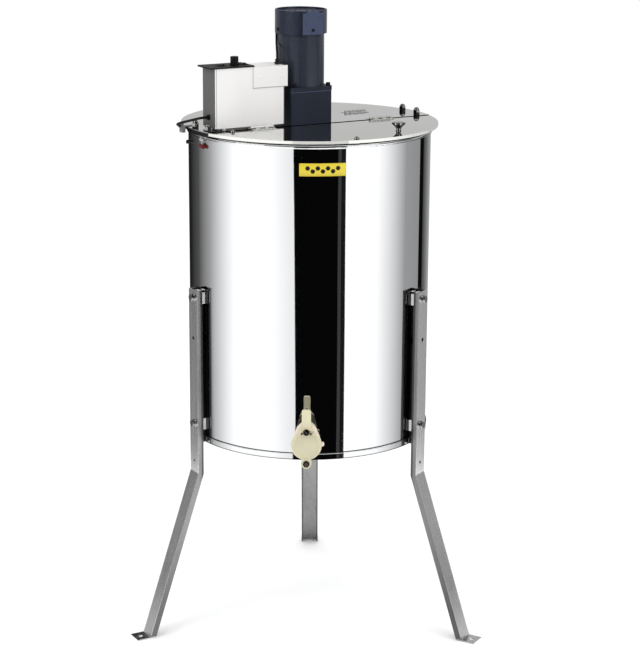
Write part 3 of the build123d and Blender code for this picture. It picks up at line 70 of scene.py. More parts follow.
# ---------------------------------------------------------------- camera
CAMERA_PLACE = (0.0508, -4.1551, 1.7054)
CAMERA_PAN = 0.37
CAMERA_TILT = 75.33
CAMERA_ROLL = 0.36

camera_data = bpy.data.cameras.new("camera")
camera_data.sensor_width = 36
camera_data.lens = 110.84
camera_data.clip_end = 60
camera = bpy.data.objects.new("camera", camera_data)
bpy.context.scene.collection.objects.link(camera)
camera.matrix_world = (
    Matrix.Translation(CAMERA_PLACE)
    @ Matrix.Rotation(math.radians(CAMERA_PAN), 4, "Z")
    @ Matrix.Rotation(math.radians(CAMERA_TILT), 4, "X")
    @ Matrix.Rotation(math.radians(CAMERA_ROLL), 4, "Z")
)
bpy.context.scene.camera = camera
bpy.context.scene.view_settings.view_transform = "Standard"

# ---------------------------------------------------------------- materials
LONG_GRAIN = (1, 1, 0.06)
# Each leg's azimuth from +X in degrees, its tone, painted lighter or darker per leg for how light falls
# on it, and how its edges (painted highlight), flanges (painted shade) and foot (painted light) differ
# from it.
LEGS = {
    "left": (210, 0.63, 1.7, 0.28, 4.0),
    "right": (-30, 0.97, 1.15, 0.22, 3.6),
    "rear": (90, 0.32, 1.3, 0.30, 1.7),
}
NAVY_WORN = (0.05, 0.06, 0.08)
BLACK_WORN = (0.008, 0.008, 0.008)
MATT = {"Specular_IOR_Level": 0.2}
TRANSLUCENT = {"Subsurface_Weight": 0.12, "Subsurface_Scale": 0.004}
# Sockets of a colour mix node: its two colours and its result.
MIX_COLOURS = (6, 7)
MIX_RESULT = 2


class Surface:
    """A principled material with short calls for the patterns that drive it."""

    def __init__(self, name, **values):
        self.material = bpy.data.materials.new(name)
        self.material.use_nodes = True
        self.tree = self.material.node_tree
        self.shader = self.tree.nodes["Principled BSDF"]
        self.place = self.tree.nodes.new("ShaderNodeTexCoord").outputs["Object"]
        for key, value in values.items():
            self.shader.inputs[key.replace("_", " ")].default_value = value

    def link(self, source, target):
        self.tree.links.new(source, target)

    def drive(self, key, source):
        self.link(source, self.shader.inputs[key])

    def noise(self, scale, detail=4, stretch=(1, 1, 1), rough=0.55):
        """Noise over the object's own space; a larger stretch makes finer lines that way."""
        mapping = self.tree.nodes.new("ShaderNodeMapping")
        mapping.inputs["Scale"].default_value = stretch
        self.link(self.place, mapping.inputs["Vector"])
        texture = self.tree.nodes.new("ShaderNodeTexNoise")
        texture.inputs["Scale"].default_value = scale
        texture.inputs["Detail"].default_value = detail
        texture.inputs["Roughness"].default_value = rough
        self.link(mapping.outputs["Vector"], texture.inputs["Vector"])
        return texture.outputs["Fac"]

    def ramp(self, fac, low, high, start=0.3, end=0.7):
        """Colour or grey ramp between two values."""
        ramp = self.tree.nodes.new("ShaderNodeValToRGB")
        for element, position, value in zip(ramp.color_ramp.elements, (start, end), (low, high)):
            element.position = position
            element.color = (*value, 1) if isinstance(value, tuple) else (value, value, value, 1)
        self.link(fac, ramp.inputs["Fac"])
        return ramp.outputs["Color"]

    def mix(self, fac, first, second, blend="MIX"):
        """Mix of two colours, each a tuple or a socket."""
        node = self.tree.nodes.new("ShaderNodeMix")
        node.data_type = "RGBA"
        node.blend_type = blend
        if isinstance(fac, float):
            node.inputs["Factor"].default_value = fac
        else:
            self.link(fac, node.inputs["Factor"])
        for index, value in zip(MIX_COLOURS, (first, second)):
            if isinstance(value, tuple):
                node.inputs[index].default_value = (*value, 1)
            else:
                self.link(value, node.inputs[index])
        return node.outputs[MIX_RESULT]

    def component(self, vector, direction):
        """How far a vector socket reaches along a direction."""
        node = self.tree.nodes.new("ShaderNodeVectorMath")
        node.operation = "DOT_PRODUCT"
        node.inputs[1].default_value = direction
        self.link(vector, node.inputs[0])
        return node.outputs["Value"]

    def unsigned(self, value):
        """A value without its sign."""
        node = self.tree.nodes.new("ShaderNodeMath")
        node.operation = "ABSOLUTE"
        self.link(value, node.inputs[0])
        return node.outputs["Value"]

    def rise(self, value, start, end):
        """Mask that goes from 0 to 1 while a value goes from start to end."""
        node = self.tree.nodes.new("ShaderNodeMapRange")
        node.inputs["From Min"].default_value = start
        node.inputs["From Max"].default_value = end
        self.link(value, node.inputs["Value"])
        return node.outputs["Result"]

    def edges(self, low=0.52, high=0.58):
        """Mask of the convex edges, for wear, and on brushed steel also for a painted edge highlight."""
        geometry = self.tree.nodes.new("ShaderNodeNewGeometry")
        return self.ramp(geometry.outputs["Pointiness"], 0.0, 1.0, low, high)

    def facing(self, direction, low=0.7, high=0.8, both=True):
        """Mask of the faces that look along a direction, or either way along it."""
        normal = self.tree.nodes.new("ShaderNodeTexCoord").outputs["Normal"]
        look = self.component(normal, direction)
        if both:
            look = self.unsigned(look)
        return self.ramp(look, 0.0, 1.0, low, high)

    def apart(self, direction, start, end):
        """Mask by the distance from the drum's axis along a direction, either way."""
        return self.rise(self.unsigned(self.component(self.place, direction)), start, end)

    def between(self, start, end):
        """Mask by height."""
        return self.rise(self.component(self.place, UP), start, end)

    def shade(self, mask, factor):
        """Darken or lighten the base colour inside a mask."""
        before = self.shader.inputs["Base Color"].links[0].from_socket
        shaded = self.mix(1.0, before, (factor,) * 3, "MULTIPLY")
        self.drive("Base Color", self.mix(mask, before, shaded))

    def bump(self, height, distance, strength=1.0):
        """Bump from a height socket; distance is in metres."""
        node = self.tree.nodes.new("ShaderNodeBump")
        node.inputs["Strength"].default_value = strength
        node.inputs["Distance"].default_value = distance
        self.link(height, node.inputs["Height"])
        self.drive("Normal", node.outputs["Normal"])


def scaled(tone, factor):
    """A tone made darker or lighter, kept inside the range of colours."""
    return tuple(min(1, factor * channel) for channel in tone)


def polished_steel(name, tone, smooth, dull, ripple, metallic=1.0):
    """Mirror-polished sheet: faint smears in the gloss and a slight roll of the sheet."""
    surface = Surface(name, Metallic=metallic)
    smear = surface.noise(9, 5, (1, 1, 0.25))
    surface.drive("Base Color", surface.ramp(smear, scaled(tone, 0.94), tone))
    surface.drive("Roughness", surface.ramp(surface.noise(26, 6, (1, 1, 0.4)), smooth, dull))
    surface.bump(surface.noise(5, 1, (1, 1, 0.35)), ripple)
    return surface


def brushed_steel(name, tone, smooth, dull, grain, metallic=1.0):
    """Satin steel whose grain runs along the part; edges are painted brighter, partly as rubbed wear and
    partly as a painted highlight.
    """
    surface = Surface(name, Metallic=metallic)
    lines = surface.noise(60, 3, grain, 0.7)
    blotch = surface.noise(14, 4)
    base = surface.mix(blotch, scaled(tone, 0.86), tone)
    base = surface.mix(surface.ramp(lines, 0.0, 0.35), base, scaled(tone, 0.7))
    # Brighter convex edges: partly rubbed wear, partly a painted highlight.
    base = surface.mix(surface.edges(), base, scaled(tone, 1.25))
    surface.drive("Base Color", base)
    surface.drive("Roughness", surface.ramp(lines, smooth, dull, 0.25, 0.75))
    surface.bump(lines, 0.00012, 0.6)
    return surface


def enamel(name, tone, worn, smooth, dull, orange_peel, **values):
    """Paint with a fine orange peel and slightly worn edges."""
    surface = Surface(name, **values)
    base = surface.mix(surface.noise(18, 5), scaled(tone, 0.92), scaled(tone, 1.06))
    surface.drive("Base Color", surface.mix(surface.edges(0.60, 0.72), base, worn))
    surface.drive("Roughness", surface.ramp(surface.noise(120, 4), smooth, dull))
    surface.bump(surface.noise(220, 2), orange_peel, 0.3)
    return surface


def moulded(name, tone, smooth, dull, texture=0.00006, **values):
    """Moulded plastic with a fine spark texture."""
    surface = Surface(name, **values)
    surface.drive("Base Color", surface.mix(surface.noise(30, 4), scaled(tone, 0.86), scaled(tone, 1.08)))
    surface.drive("Roughness", surface.ramp(surface.noise(160, 4), smooth, dull))
    surface.bump(surface.noise(260, 2), texture, 0.3)
    return surface


def band_finish():
    """Seam band, with a painted shadow line along its foot and a painted shade line along its top edge.
    """
    surface = polished_steel("band_steel", (0.84, 0.85, 0.86), 0.03, 0.06, 0.0004)
    painted_shadow_at_foot = surface.between(DRUM_BOTTOM + 0.0028, DRUM_BOTTOM + 0.0008)
    painted_shade_at_seam = surface.between(SKIRT_TOP - 0.0016, SKIRT_TOP - 0.0008)
    # Painted shadow under the band, and painted shade where it meets the wall.
    surface.shade(painted_shadow_at_foot, 0.16)
    surface.shade(painted_shade_at_seam, 0.10)
    return surface


def lid_finish():
    """Lids: a full mirror on the flat sides, softer on the edges, with a painted shadow strip beside the
    beam.
    """
    surface = polished_steel("lid_steel", (0.80, 0.80, 0.77), 0.03, 0.06, 0.0003)
    flat = surface.facing(UP, 0.4, 0.6)
    surface.drive("Metallic", surface.ramp(flat, 0.35, 1.0, 0.0, 1.0))
    # Painted shadow in the gap beside the beam.
    painted_gap_shadow = surface.apart(FRONT, 0.0532, 0.0528)
    surface.shade(painted_gap_shadow, 0.06)
    return surface


def beam_finish():
    """Crossbeam, with painted shade on its folded flanges."""
    surface = polished_steel("beam_steel", (0.80, 0.81, 0.80), 0.03, 0.06, 0.0003)
    # Painted shade on the flanges that face front and back.
    surface.shade(surface.facing(FRONT), 0.03)
    return surface


def sheet_finish():
    """Control box: painted shade on its ends, a painted shade line where the cover laps the box, and a
    painted shade edge by the motor.
    """
    surface = polished_steel("sheet_steel", (0.87, 0.86, 0.855), 0.30, 0.40, 0.0001, metallic=0.25)
    painted_lap_shade = 0.42
    lap_shade_starts = surface.apart(ALONG, 0.2350, 0.2353)
    lap_shade_ends = surface.apart(ALONG, 0.2364, 0.2367)
    painted_shade_by_motor = surface.apart(ALONG, 0.0852, 0.0849)
    # Painted shade on the ends, on the line where the cover laps the box, and along the edge by the
    # motor.
    surface.shade(surface.facing(ALONG), 0.150)
    surface.shade(lap_shade_starts, painted_lap_shade)
    surface.shade(lap_shade_ends, 1 / painted_lap_shade)
    surface.shade(painted_shade_by_motor, 0.30)
    return surface


def stay_finish():
    """Stay between the box and the motor, with painted shade on its ends and its top, and a painted
    shadow along its lower edge.
    """
    surface = polished_steel("stay_steel", (0.86, 0.835, 0.835), 0.30, 0.40, 0.0001, metallic=0.25)
    painted_shadow_under_stay = surface.between(STAY_LOW + 0.0013, STAY_LOW + 0.0010)
    # Painted shade on the ends and the top, and a painted shadow along the lower edge.
    surface.shade(surface.facing(ALONG), 0.17)
    surface.shade(surface.facing(UP), 0.35)
    surface.shade(painted_shadow_under_stay, 0.35)
    return surface


def leg_finish(side, azimuth, tone, edge_highlight, flange_shade, foot_painted_light):
    """Leg channel, painted for how light falls on it: a tone per leg on the web, a painted highlight on
    the web's edges, painted shade on the flanges and painted light on the foot.
    """
    angle = math.radians(azimuth)
    outward = (math.cos(angle), math.sin(angle), 0)
    across = (math.sin(angle), -math.cos(angle), 0)
    # One copy of the steel per leg, painted lighter or darker by its tone for how light falls on it.
    surface = brushed_steel(f"leg_steel_{side}", (tone, tone, tone * 1.01), 0.20, 0.32, LONG_GRAIN)
    # Painted highlight on the web's edges, painted shade on the flanges and painted light on the foot.
    painted_edge_highlight = surface.apart(across, 0.0164, 0.0168)
    foot = surface.between(0.0032, 0.0026)
    surface.shade(painted_edge_highlight, edge_highlight)
    surface.shade(surface.facing(across), flange_shade)
    surface.shade(foot, foot_painted_light)
    if side == "rear":
        # Painted shade along the rim of the rear leg's web.
        painted_rim_shade = surface.apart(across, 0.0159, 0.0163)
        surface.shade(painted_rim_shade, 0.25)
        return surface
    # Painted shade near the wall, painted light on the outer face of the web, and painted shade from
    # above the bend down, deeper towards the foot.
    painted_shade_near_wall = surface.apart(outward, 0.2640, 0.2634)
    painted_light_on_web = surface.apart(outward, 0.2690, 0.2694)
    painted_shade_from_bend = surface.between(LEG_BEND_Z + 0.12, LEG_BEND_Z + 0.02)
    painted_shade_towards_foot = surface.between(LEG_BEND_Z - 0.10, 0.06)
    surface.shade(painted_shade_near_wall, 0.40)
    surface.shade(painted_light_on_web, 1.15)
    surface.shade(painted_shade_from_bend, 0.74)
    surface.shade(painted_shade_towards_foot, 0.52)
    return surface


def gearbox_finish():
    """Gearbox enamel, with painted shade on its ends and a painted highlight line under the cover."""
    surface = enamel("gearbox_enamel", (0.008, 0.011, 0.023), NAVY_WORN, 0.34, 0.46, 0.00008, **MATT)
    painted_highlight_tone = 6.0
    highlight_starts = surface.between(COVER_Z - 0.0012, COVER_Z - 0.0010)
    highlight_ends = surface.between(COVER_Z - 0.0002, COVER_Z)
    # Painted shade on the ends, and a painted highlight line just under the cover.
    surface.shade(surface.facing(ALONG), 0.65)
    surface.shade(highlight_starts, painted_highlight_tone)
    surface.shade(highlight_ends, 1 / painted_highlight_tone)
    return surface


def fan_finish():
    """Fan cover, with painted light on the flat pad that faces the front."""
    surface = moulded("fan_plastic", (0.012, 0.017, 0.034), 0.26, 0.36, 0.00003)
    painted_light_pad = surface.facing(FRONT, 0.997, 0.999, False)
    # Painted light on the flat pad that faces the front.
    surface.shade(painted_light_pad, 2.9)
    return surface


def plate_finish():
    """Swinging gate plate, a little darker where it stands out in front."""
    surface = moulded("gate_nylon", (0.62, 0.58, 0.41), 0.36, 0.50, 0.00005, **TRANSLUCENT)
    stands_out = surface.apart(BACK, 0.3018, 0.3022)
    surface.shade(stands_out, 0.88)
    return surface


def flange_finish():
    """Gate body, with painted shade on the faces towards the drum, and dark along the edge that meets the
    plate.
    """
    surface = moulded("flange_nylon", (0.74, 0.69, 0.56), 0.30, 0.44, 0.00005, **TRANSLUCENT)
    plate_edge = surface.apart(BACK, 0.3015, 0.3020)
    # Painted shade on the faces that look towards the drum.
    surface.shade(surface.facing(BACK, both=False), 0.10)
    surface.shade(plate_edge, 0.06)
    return surface


drum_steel = polished_steel("drum_steel", (0.86, 0.87, 0.88), 0.018, 0.045, 0.0006)
bright_steel = polished_steel("bright_steel", (0.80, 0.81, 0.82), 0.08, 0.16, 0.0001)
# Chrome dome nuts and lid fittings, their tone darkened as a painted dark reflection.
dome_steel_painted_dark = polished_steel("dome_steel_painted_dark", (0.31, 0.31, 0.305), 0.03, 0.07, 0.00005)
# Lid knobs, their steel tone darkened as painted shade.
knob_steel_painted_dark = polished_steel("knob_steel_painted_dark", (0.24, 0.24, 0.235), 0.05, 0.10, 0.00005)
hinge_steel = polished_steel("hinge_steel", (0.62, 0.62, 0.60), 0.16, 0.26, 0.0001, metallic=0.5)
bolt_steel = polished_steel("bolt_steel", (0.42, 0.42, 0.43), 0.10, 0.18, 0.0001)
nut_steel = polished_steel("nut_steel", (0.30, 0.27, 0.22), 0.10, 0.18, 0.0001)
plate_steel = brushed_steel("plate_steel", (0.80, 0.80, 0.79), 0.40, 0.55, (1, 1, 0.3), metallic=0.5)
bracket_steel = brushed_steel("bracket_steel", (0.045, 0.045, 0.045), 0.16, 0.28, LONG_GRAIN)
cage_steel = brushed_steel("cage_steel", (0.66, 0.67, 0.68), 0.20, 0.34, (1, 1, 0.3))
gear_steel = brushed_steel("gear_steel", (0.42, 0.42, 0.43), 0.22, 0.36, (1, 1, 0.2))
bronze = brushed_steel("bronze", (0.62, 0.42, 0.18), 0.28, 0.42, (1, 1, 0.4))
iron = brushed_steel("iron", (0.20, 0.19, 0.18), 0.40, 0.60, (1, 1, 14))
navy_enamel = enamel(
    "navy_enamel", (0.009, 0.012, 0.024), NAVY_WORN, 0.24, 0.28, 0.00002, Specular_IOR_Level=0.36
)
black_oxide = enamel("black_oxide", (0.004, 0.004, 0.004), BLACK_WORN, 0.45, 0.60, 0.00004, **MATT)
black_plastic = moulded("black_plastic", (0.006, 0.006, 0.006), 0.36, 0.52, Specular_IOR_Level=0.3)
sensor_plastic = moulded("sensor_plastic", (0.16, 0.16, 0.165), 0.40, 0.55)
lead_rubber = moulded("lead_rubber", (0.005, 0.005, 0.005), 0.42, 0.58, 0.00004, **MATT)
gate_rubber = moulded("gate_rubber", (0.42, 0.40, 0.34), 0.55, 0.70)
bearing_nylon = moulded("bearing_nylon", (0.78, 0.78, 0.74), 0.40, 0.55)
board_mask = moulded("board_mask", (0.02, 0.16, 0.06), 0.25, 0.40)
red_plastic = moulded("red_plastic", (0.14, 0.008, 0.008), 0.16, 0.28)
label_yellow = moulded("label_yellow", (0.68, 0.54, 0.035), 0.28, 0.38, 0.00002)
label_black = moulded("label_black", (0.012, 0.012, 0.012), 0.30, 0.42, 0.00002)

FINISHES = {
    drum_steel: ("drum_wall", "drum_floor"),
    band_finish(): ("base_band",),
    lid_finish(): ("front_lid", "rear_lid"),
    beam_finish(): ("crossbeam",),
    sheet_finish(): ("control_cover", "control_box"),
    stay_finish(): ("motor_bracket",),
    hinge_steel: (
        "hinge_leaves_beam", "hinge_leaves_front", "hinge_leaves_rear", "hinge_pins",
        "earth_stud",
    ),
    bright_steel: ("bracket_rivets",),
    dome_steel_painted_dark: ("dome_nuts", "front_lid_fittings", "rear_lid_fittings"),
    knob_steel_painted_dark: ("front_lid_knob", "rear_lid_knob"),
    plate_steel: ("nut_plates",),
    bolt_steel: ("leg_bolts",),
    nut_steel: ("clamp_knob", "gate_pivot_nut"),
    bracket_steel: ("leg_brackets", "beam_saddles"),
    cage_steel: (
        "cage_spiders", "cage_rings", "cage_uprights", "cage_screens", "cage_shaft",
        "shaft_coupling",
    ),
    gear_steel: ("output_shaft", "idler_gear"),
    navy_enamel: ("motor_body",),
    gearbox_finish(): ("gearbox_housing", "gearbox_cover"),
    fan_finish(): ("fan_cover", "cooling_fan"),
    black_oxide: ("motor_screws",),
    black_plastic: ("control_panel", "speed_knob", "power_rocker", "direction_rocker", "cable_glands"),
    sensor_plastic: ("lid_sensor",),
    lead_rubber: ("leads",),
    plate_finish(): ("gate_plate",),
    flange_finish(): ("gate_body", "gate_nut"),
    gate_rubber: ("gate_seal",),
    bearing_nylon: ("bearing_cup",),
    bronze: ("gear_bushes",),
    iron: ("rotor", "stator"),
    board_mask: ("control_board",),
    red_plastic: ("earth_sleeve",),
}
for side, painted_tones in LEGS.items():
    FINISHES[leg_finish(side, *painted_tones)] = (f"leg_{side}",)

for finish, names in FINISHES.items():
    for name in names:
        mesh = nodes[name].data
        mesh.materials.clear()
        mesh.materials.append(finish.material)

# ---------------------------------------------------------------- rounded edges
# Width of the rounding on each piece whose edges catch the light, in metres.
BEVELS = {
    "gate_body": 0.0014, "gate_plate": 0.0018, "clamp_knob": 0.0008, "gearbox_housing": 0.0008,
    "gearbox_cover": 0.0012, "fan_cover": 0.0012, "control_cover": 0.0005, "control_box": 0.0004,
    "control_panel": 0.0006, "motor_bracket": 0.0004, "leg_left": 0.0007, "leg_right": 0.0007,
    "leg_rear": 0.0007, "leg_brackets": 0.0005, "nut_plates": 0.0006, "leg_bolts": 0.0004,
    "dome_nuts": 0.0004, "motor_screws": 0.0004, "lid_sensor": 0.0008, "speed_knob": 0.0003,
    "front_lid": 0.0006, "rear_lid": 0.0006, "crossbeam": 0.0005, "front_lid_knob": 0.0004,
    "rear_lid_knob": 0.0004, "earth_stud": 0.0003, "cable_glands": 0.0004, "gate_pivot_nut": 0.0006,
}
SHARP = math.radians(40)

for name, width in BEVELS.items():
    bevel = nodes[name].modifiers.new("edge", "BEVEL")
    bevel.width = width
    bevel.segments = 2
    bevel.limit_method = "ANGLE"
    bevel.angle_limit = SHARP
    bevel.harden_normals = True
    bevel.use_clamp_overlap = True


# ---------------------------------------------------------------- mesh helpers
def round_off(mesh):
    """Smooth shading over a whole mesh."""
    mesh.polygons.foreach_set("use_smooth", [True] * len(mesh.polygons))


def add_piece(name, mesh, finish, body, smooth=True):
    """Link a mesh as a named piece of the object that rides on one body."""
    piece = bpy.data.objects.new(name, mesh)
    bpy.context.scene.collection.objects.link(piece)
    mesh.materials.append(finish.material)
    if smooth:
        round_off(mesh)
    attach(piece, body)
    return piece


def mesh_from(name, build):
    """Mesh made by a function that fills a bmesh."""
    mesh = bpy.data.meshes.new(name)
    work = bmesh.new()
    build(work)
    bmesh.ops.recalc_face_normals(work, faces=work.faces)
    work.to_mesh(mesh)
    work.free()
    return mesh


def join_rings(work, low, high):
    """Quads between two rings of vertices that match one to one."""
    for index in range(len(low)):
        after = (index + 1) % len(low)
        work.faces.new((low[index], low[after], high[after], high[index]))


# ---------------------------------------------------------------- label on the wall
LABEL_LEFT = -3.9
LABEL_RIGHT = 17.4
LABEL_LOW = 0.9917
LABEL_HIGH = 1.0171
LABEL_CORNER = 0.0008
LABEL_STEPS = 28
LABEL_BACK = DRUM_R + 0.00005
LABEL_FACE = DRUM_R + 0.0003
PRINT_BACK = DRUM_R + 0.00028
PRINT_FACE = DRUM_R + 0.00042
CELL = 0.0058
CELL_FILL = 0.84
CELL_STEP = math.degrees(1.72 * CELL / DRUM_R)
ROW_SHIFT = 0.0030
SIDE_CELLS = 3


def curved_patch(outline, low_r, high_r):
    """Closed plate bent round the wall; the halves of its (azimuth, height) outline face each other."""

    def build(work):
        inner = [work.verts.new(around(azimuth, low_r, z)) for azimuth, z in outline]
        outer = [work.verts.new(around(azimuth, high_r, z)) for azimuth, z in outline]
        for index in range(len(outline) // 2 - 1):
            other = len(outline) - 1 - index
            work.faces.new((outer[index], outer[index + 1], outer[other - 1], outer[other]))
            work.faces.new((inner[other], inner[other - 1], inner[index + 1], inner[index]))
        join_rings(work, inner, outer)

    return build


def label_outline():
    """Rounded rectangle: along the bottom edge, then back along the top."""
    bottom = []
    top = []
    for step in range(LABEL_STEPS + 1):
        turn = 2 * math.pi * step / LABEL_STEPS
        share = (turn - math.sin(turn)) / (2 * math.pi)
        azimuth = LABEL_LEFT + (LABEL_RIGHT - LABEL_LEFT) * share
        from_end = min(azimuth - LABEL_LEFT, LABEL_RIGHT - azimuth) * math.radians(1) * DRUM_R
        into_corner = max(0, LABEL_CORNER - from_end)
        inset = LABEL_CORNER - math.sqrt(max(0, LABEL_CORNER**2 - into_corner**2))
        bottom.append((azimuth, LABEL_LOW + inset))
        top.append((azimuth, LABEL_HIGH - inset))
    return bottom + top[::-1]


def hexagon_outline(azimuth, z, size):
    """Honeycomb cell: from its left corner along the bottom, then back along the top."""
    degrees_per_metre = 1 / (math.radians(1) * DRUM_R)
    points = []
    for corner in (180, 240, 300, 0, 60, 120):
        angle = math.radians(corner)
        points.append((azimuth + size * math.cos(angle) * degrees_per_metre, z + size * math.sin(angle)))
    return points


label_mesh = mesh_from("label", curved_patch(label_outline(), LABEL_BACK, LABEL_FACE))
add_piece("label", label_mesh, label_yellow, "drum")
label_centre = (LABEL_LEFT + LABEL_RIGHT) / 2
label_middle = (LABEL_LOW + LABEL_HIGH) / 2
for index in range(-SIDE_CELLS, SIDE_CELLS + 1):
    cell_z = label_middle + (ROW_SHIFT if index % 2 else -ROW_SHIFT)
    outline = hexagon_outline(label_centre + index * CELL_STEP, cell_z, CELL * CELL_FILL)
    print_mesh = mesh_from("label_cell", curved_patch(outline, PRINT_BACK, PRINT_FACE))
    add_piece(f"label_cell_{index + SIDE_CELLS}", print_mesh, label_black, "drum", smooth=False)

# ---------------------------------------------------------------- wire mesh of the cage
# Distance from the axis and half width of a pocket's outer and inner screen.
SCREENS = ((0.197, 0.1195), (0.150, 0.1165))
MESH_LOW = 0.4915
MESH_HIGH = 0.9785
EDGE_R = 0.0011
WIRE_R = 0.0006
WIRE_PITCH = 0.0078


def add_bar(work, start, end, half):
    """Closed square bar between two points, standing on its edge."""
    axis = (end - start).normalized()
    side = axis.orthogonal().normalized() * half
    lift = axis.cross(side)
    section = (side, lift, -side, -lift)
    low = [work.verts.new(start + offset) for offset in section]
    high = [work.verts.new(end + offset) for offset in section]
    join_rings(work, low, high)
    work.faces.new(low[::-1])
    work.faces.new(high)


def add_screen(work, turn, distance, half):
    """Welded screen: a thicker frame, upright wires on its outer side and rows on its inner side."""

    def place(offset, across, z):
        return turn @ Vector((distance + offset, across, z))

    for edge in (-half, half):
        add_bar(work, place(0, edge, MESH_LOW), place(0, edge, MESH_HIGH), EDGE_R)
    for edge in (MESH_LOW, MESH_HIGH):
        add_bar(work, place(0, -half, edge), place(0, half, edge), EDGE_R)
    columns = int(2 * half / WIRE_PITCH)
    for index in range(1, columns):
        across = -half + 2 * half * index / columns
        add_bar(work, place(WIRE_R, across, MESH_LOW), place(WIRE_R, across, MESH_HIGH), WIRE_R)
    rows = int((MESH_HIGH - MESH_LOW) / WIRE_PITCH)
    for index in range(1, rows):
        z = MESH_LOW + (MESH_HIGH - MESH_LOW) * index / rows
        add_bar(work, place(-WIRE_R, -half, z), place(-WIRE_R, half, z), WIRE_R)


def build_wire_mesh(work):
    """Screens on both sides of the four pockets."""
    for quarter in range(4):
        turn = Matrix.Rotation(quarter * math.pi / 2, 4, "Z")
        for distance, half in SCREENS:
            add_screen(work, turn, distance, half)


screens = mesh_from("wire_mesh", build_wire_mesh)
wire_mesh = add_piece("wire_mesh", screens, cage_steel, "cage", smooth=False)
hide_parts("cage_screens")

# ---------------------------------------------------------------- hinge screws
SCREW_R = 0.0022
SCREW_STEPS = 16
# Radius and height of the rings of a screw head, from its foot to the recess, as shares of its radius.
SCREW_RINGS = ((1.0, -0.1), (1.0, 0.10), (0.86, 0.24), (0.36, 0.30))
RECESS_WIDE = 0.34
RECESS_NARROW = 0.12
RECESS_FLOOR = -0.02
HINGE_A = 0.138
SCREW_A = 0.016
BEAM_LEAF_MID = 0.0417
LID_LEAF_MID = 0.0597
LEAF_Z = {"drum": 1.0653, "front_lid": 1.0643, "rear_lid": 1.0643}


def screw_vertex(work, step, radius, height):
    """Vertex of a screw head, its radius and height given as shares of the head's radius."""
    angle = 2 * math.pi * step / SCREW_STEPS
    reach = SCREW_R * radius
    return work.verts.new((reach * math.cos(angle), reach * math.sin(angle), SCREW_R * height))


def build_countersunk(work):
    """Low screw head with a rounded edge and a cross recess."""
    rings = []
    for radius, height in SCREW_RINGS:
        rings.append([screw_vertex(work, step, radius, height) for step in range(SCREW_STEPS)])
    recess = []
    for step in range(SCREW_STEPS):
        radius = RECESS_WIDE if step % 4 else RECESS_NARROW
        recess.append(screw_vertex(work, step, radius, RECESS_FLOOR))
    rings.append(recess)
    for low, high in zip(rings, rings[1:]):
        join_rings(work, low, high)
    work.faces.new(recess)
    work.faces.new(rings[0][::-1])


screw_mesh = mesh_from("hinge_screw", build_countersunk)
screw_mesh.materials.append(bright_steel.material)
round_off(screw_mesh)


def add_hinge_screw(part, side, hinge, step, front):
    """One screw of a hinge leaf, riding on the body that holds the leaf."""
    spot = f"{side}_{hinge:.3f}_{step:.3f}".replace(".", "-")
    screw = bpy.data.objects.new(f"hinge_screw_{part}_{spot}", screw_mesh)
    bpy.context.scene.collection.objects.link(screw)
    screw.location = at_beam(hinge + step, side * front, LEAF_Z[part])
    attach(screw, part)


for side, lid_body in ((1, "front_lid"), (-1, "rear_lid")):
    for hinge in (-HINGE_A, HINGE_A):
        for step in (-SCREW_A, SCREW_A):
            add_hinge_screw("drum", side, hinge, step, BEAM_LEAF_MID)
            add_hinge_screw(lid_body, side, hinge, step, LID_LEAF_MID)

# ---------------------------------------------------------------- studio ring
# Brightness that the polished wall mirrors, by azimuth on the wall: start, end, first, last.
RING_PANELS = (
    (-90, -77, 0.02, 0.015), (-77, -65, 0.015, 0.085), (-65, -54, 0.085, 0.39), (-54, -36, 0.39, 1.25),
    (-36, -18, 1.25, 1.25), (-18, -7, 1.25, 0.97), (-7, 14, 0.002, 0.002), (14, 15.4, 0.05, 0.05),
    (15.4, 17.6, 0.01, 0.01), (17.6, 34, 1.25, 1.2), (34, 52, 1.2, 0.38), (52, 65, 0.36, 0.31),
    (65, 69.5, 0.004, 0.004), (69.5, 81, 0.05, 0.36), (81, 90, 0.36, 0.40),
)
RING_R = 1.2
RING_STEPS = 1440
RING_FOOT = 0.002
RING_SPLIT = 1.06
RING_TOP = 3.0
UPPER_BANDS = 8
UPPER_BAND = 0.12
CEILING = 0.35
# Azimuth, half width and brightness of each softbox above the front of the ring.
SOFTBOXES = ((-52, 14, 3.2), (48, 15, 2.7))
SOFTBOX_FOOT = 1.3
BACK_FROM = 100
BACK_LOW = 0.60
BACK_HIGH = 0.34
BACK_FADE_Z = 1.25
BACK_FADE = 0.35
GAP_HALF = 25
GAP = 0.02
SURROUND = 0.10


def wall_to_ring(wall_azimuth):
    """Azimuth where a ray mirrored by the wall meets the ring."""
    phi = math.radians(wall_azimuth)
    out = Vector((math.sin(2 * phi), -math.cos(2 * phi)))
    start = Vector((DRUM_R * math.sin(phi), -DRUM_R * math.cos(phi)))
    reach = -start.dot(out) + math.sqrt(start.dot(out) ** 2 + RING_R**2 - DRUM_R**2)
    hit = start + out * reach
    return math.degrees(math.atan2(hit.x, -hit.y))


def ring_edges():
    """Where each panel starts and ends on the ring; the outer two meet behind the object."""
    edges = [(wall_to_ring(start), wall_to_ring(end)) for start, end, _, _ in RING_PANELS]
    edges[0] = (-180.0, edges[0][1])
    edges[-1] = (edges[-1][0], 180.0)
    return edges


def lower_brightness(azimuth, edges):
    """Brightness of the lower band, which the wall mirrors."""
    for (low, high), (_, _, first, last) in zip(edges, RING_PANELS):
        if low <= azimuth < high:
            return first + (last - first) * (azimuth - low) / (high - low)
    return RING_PANELS[0][2]


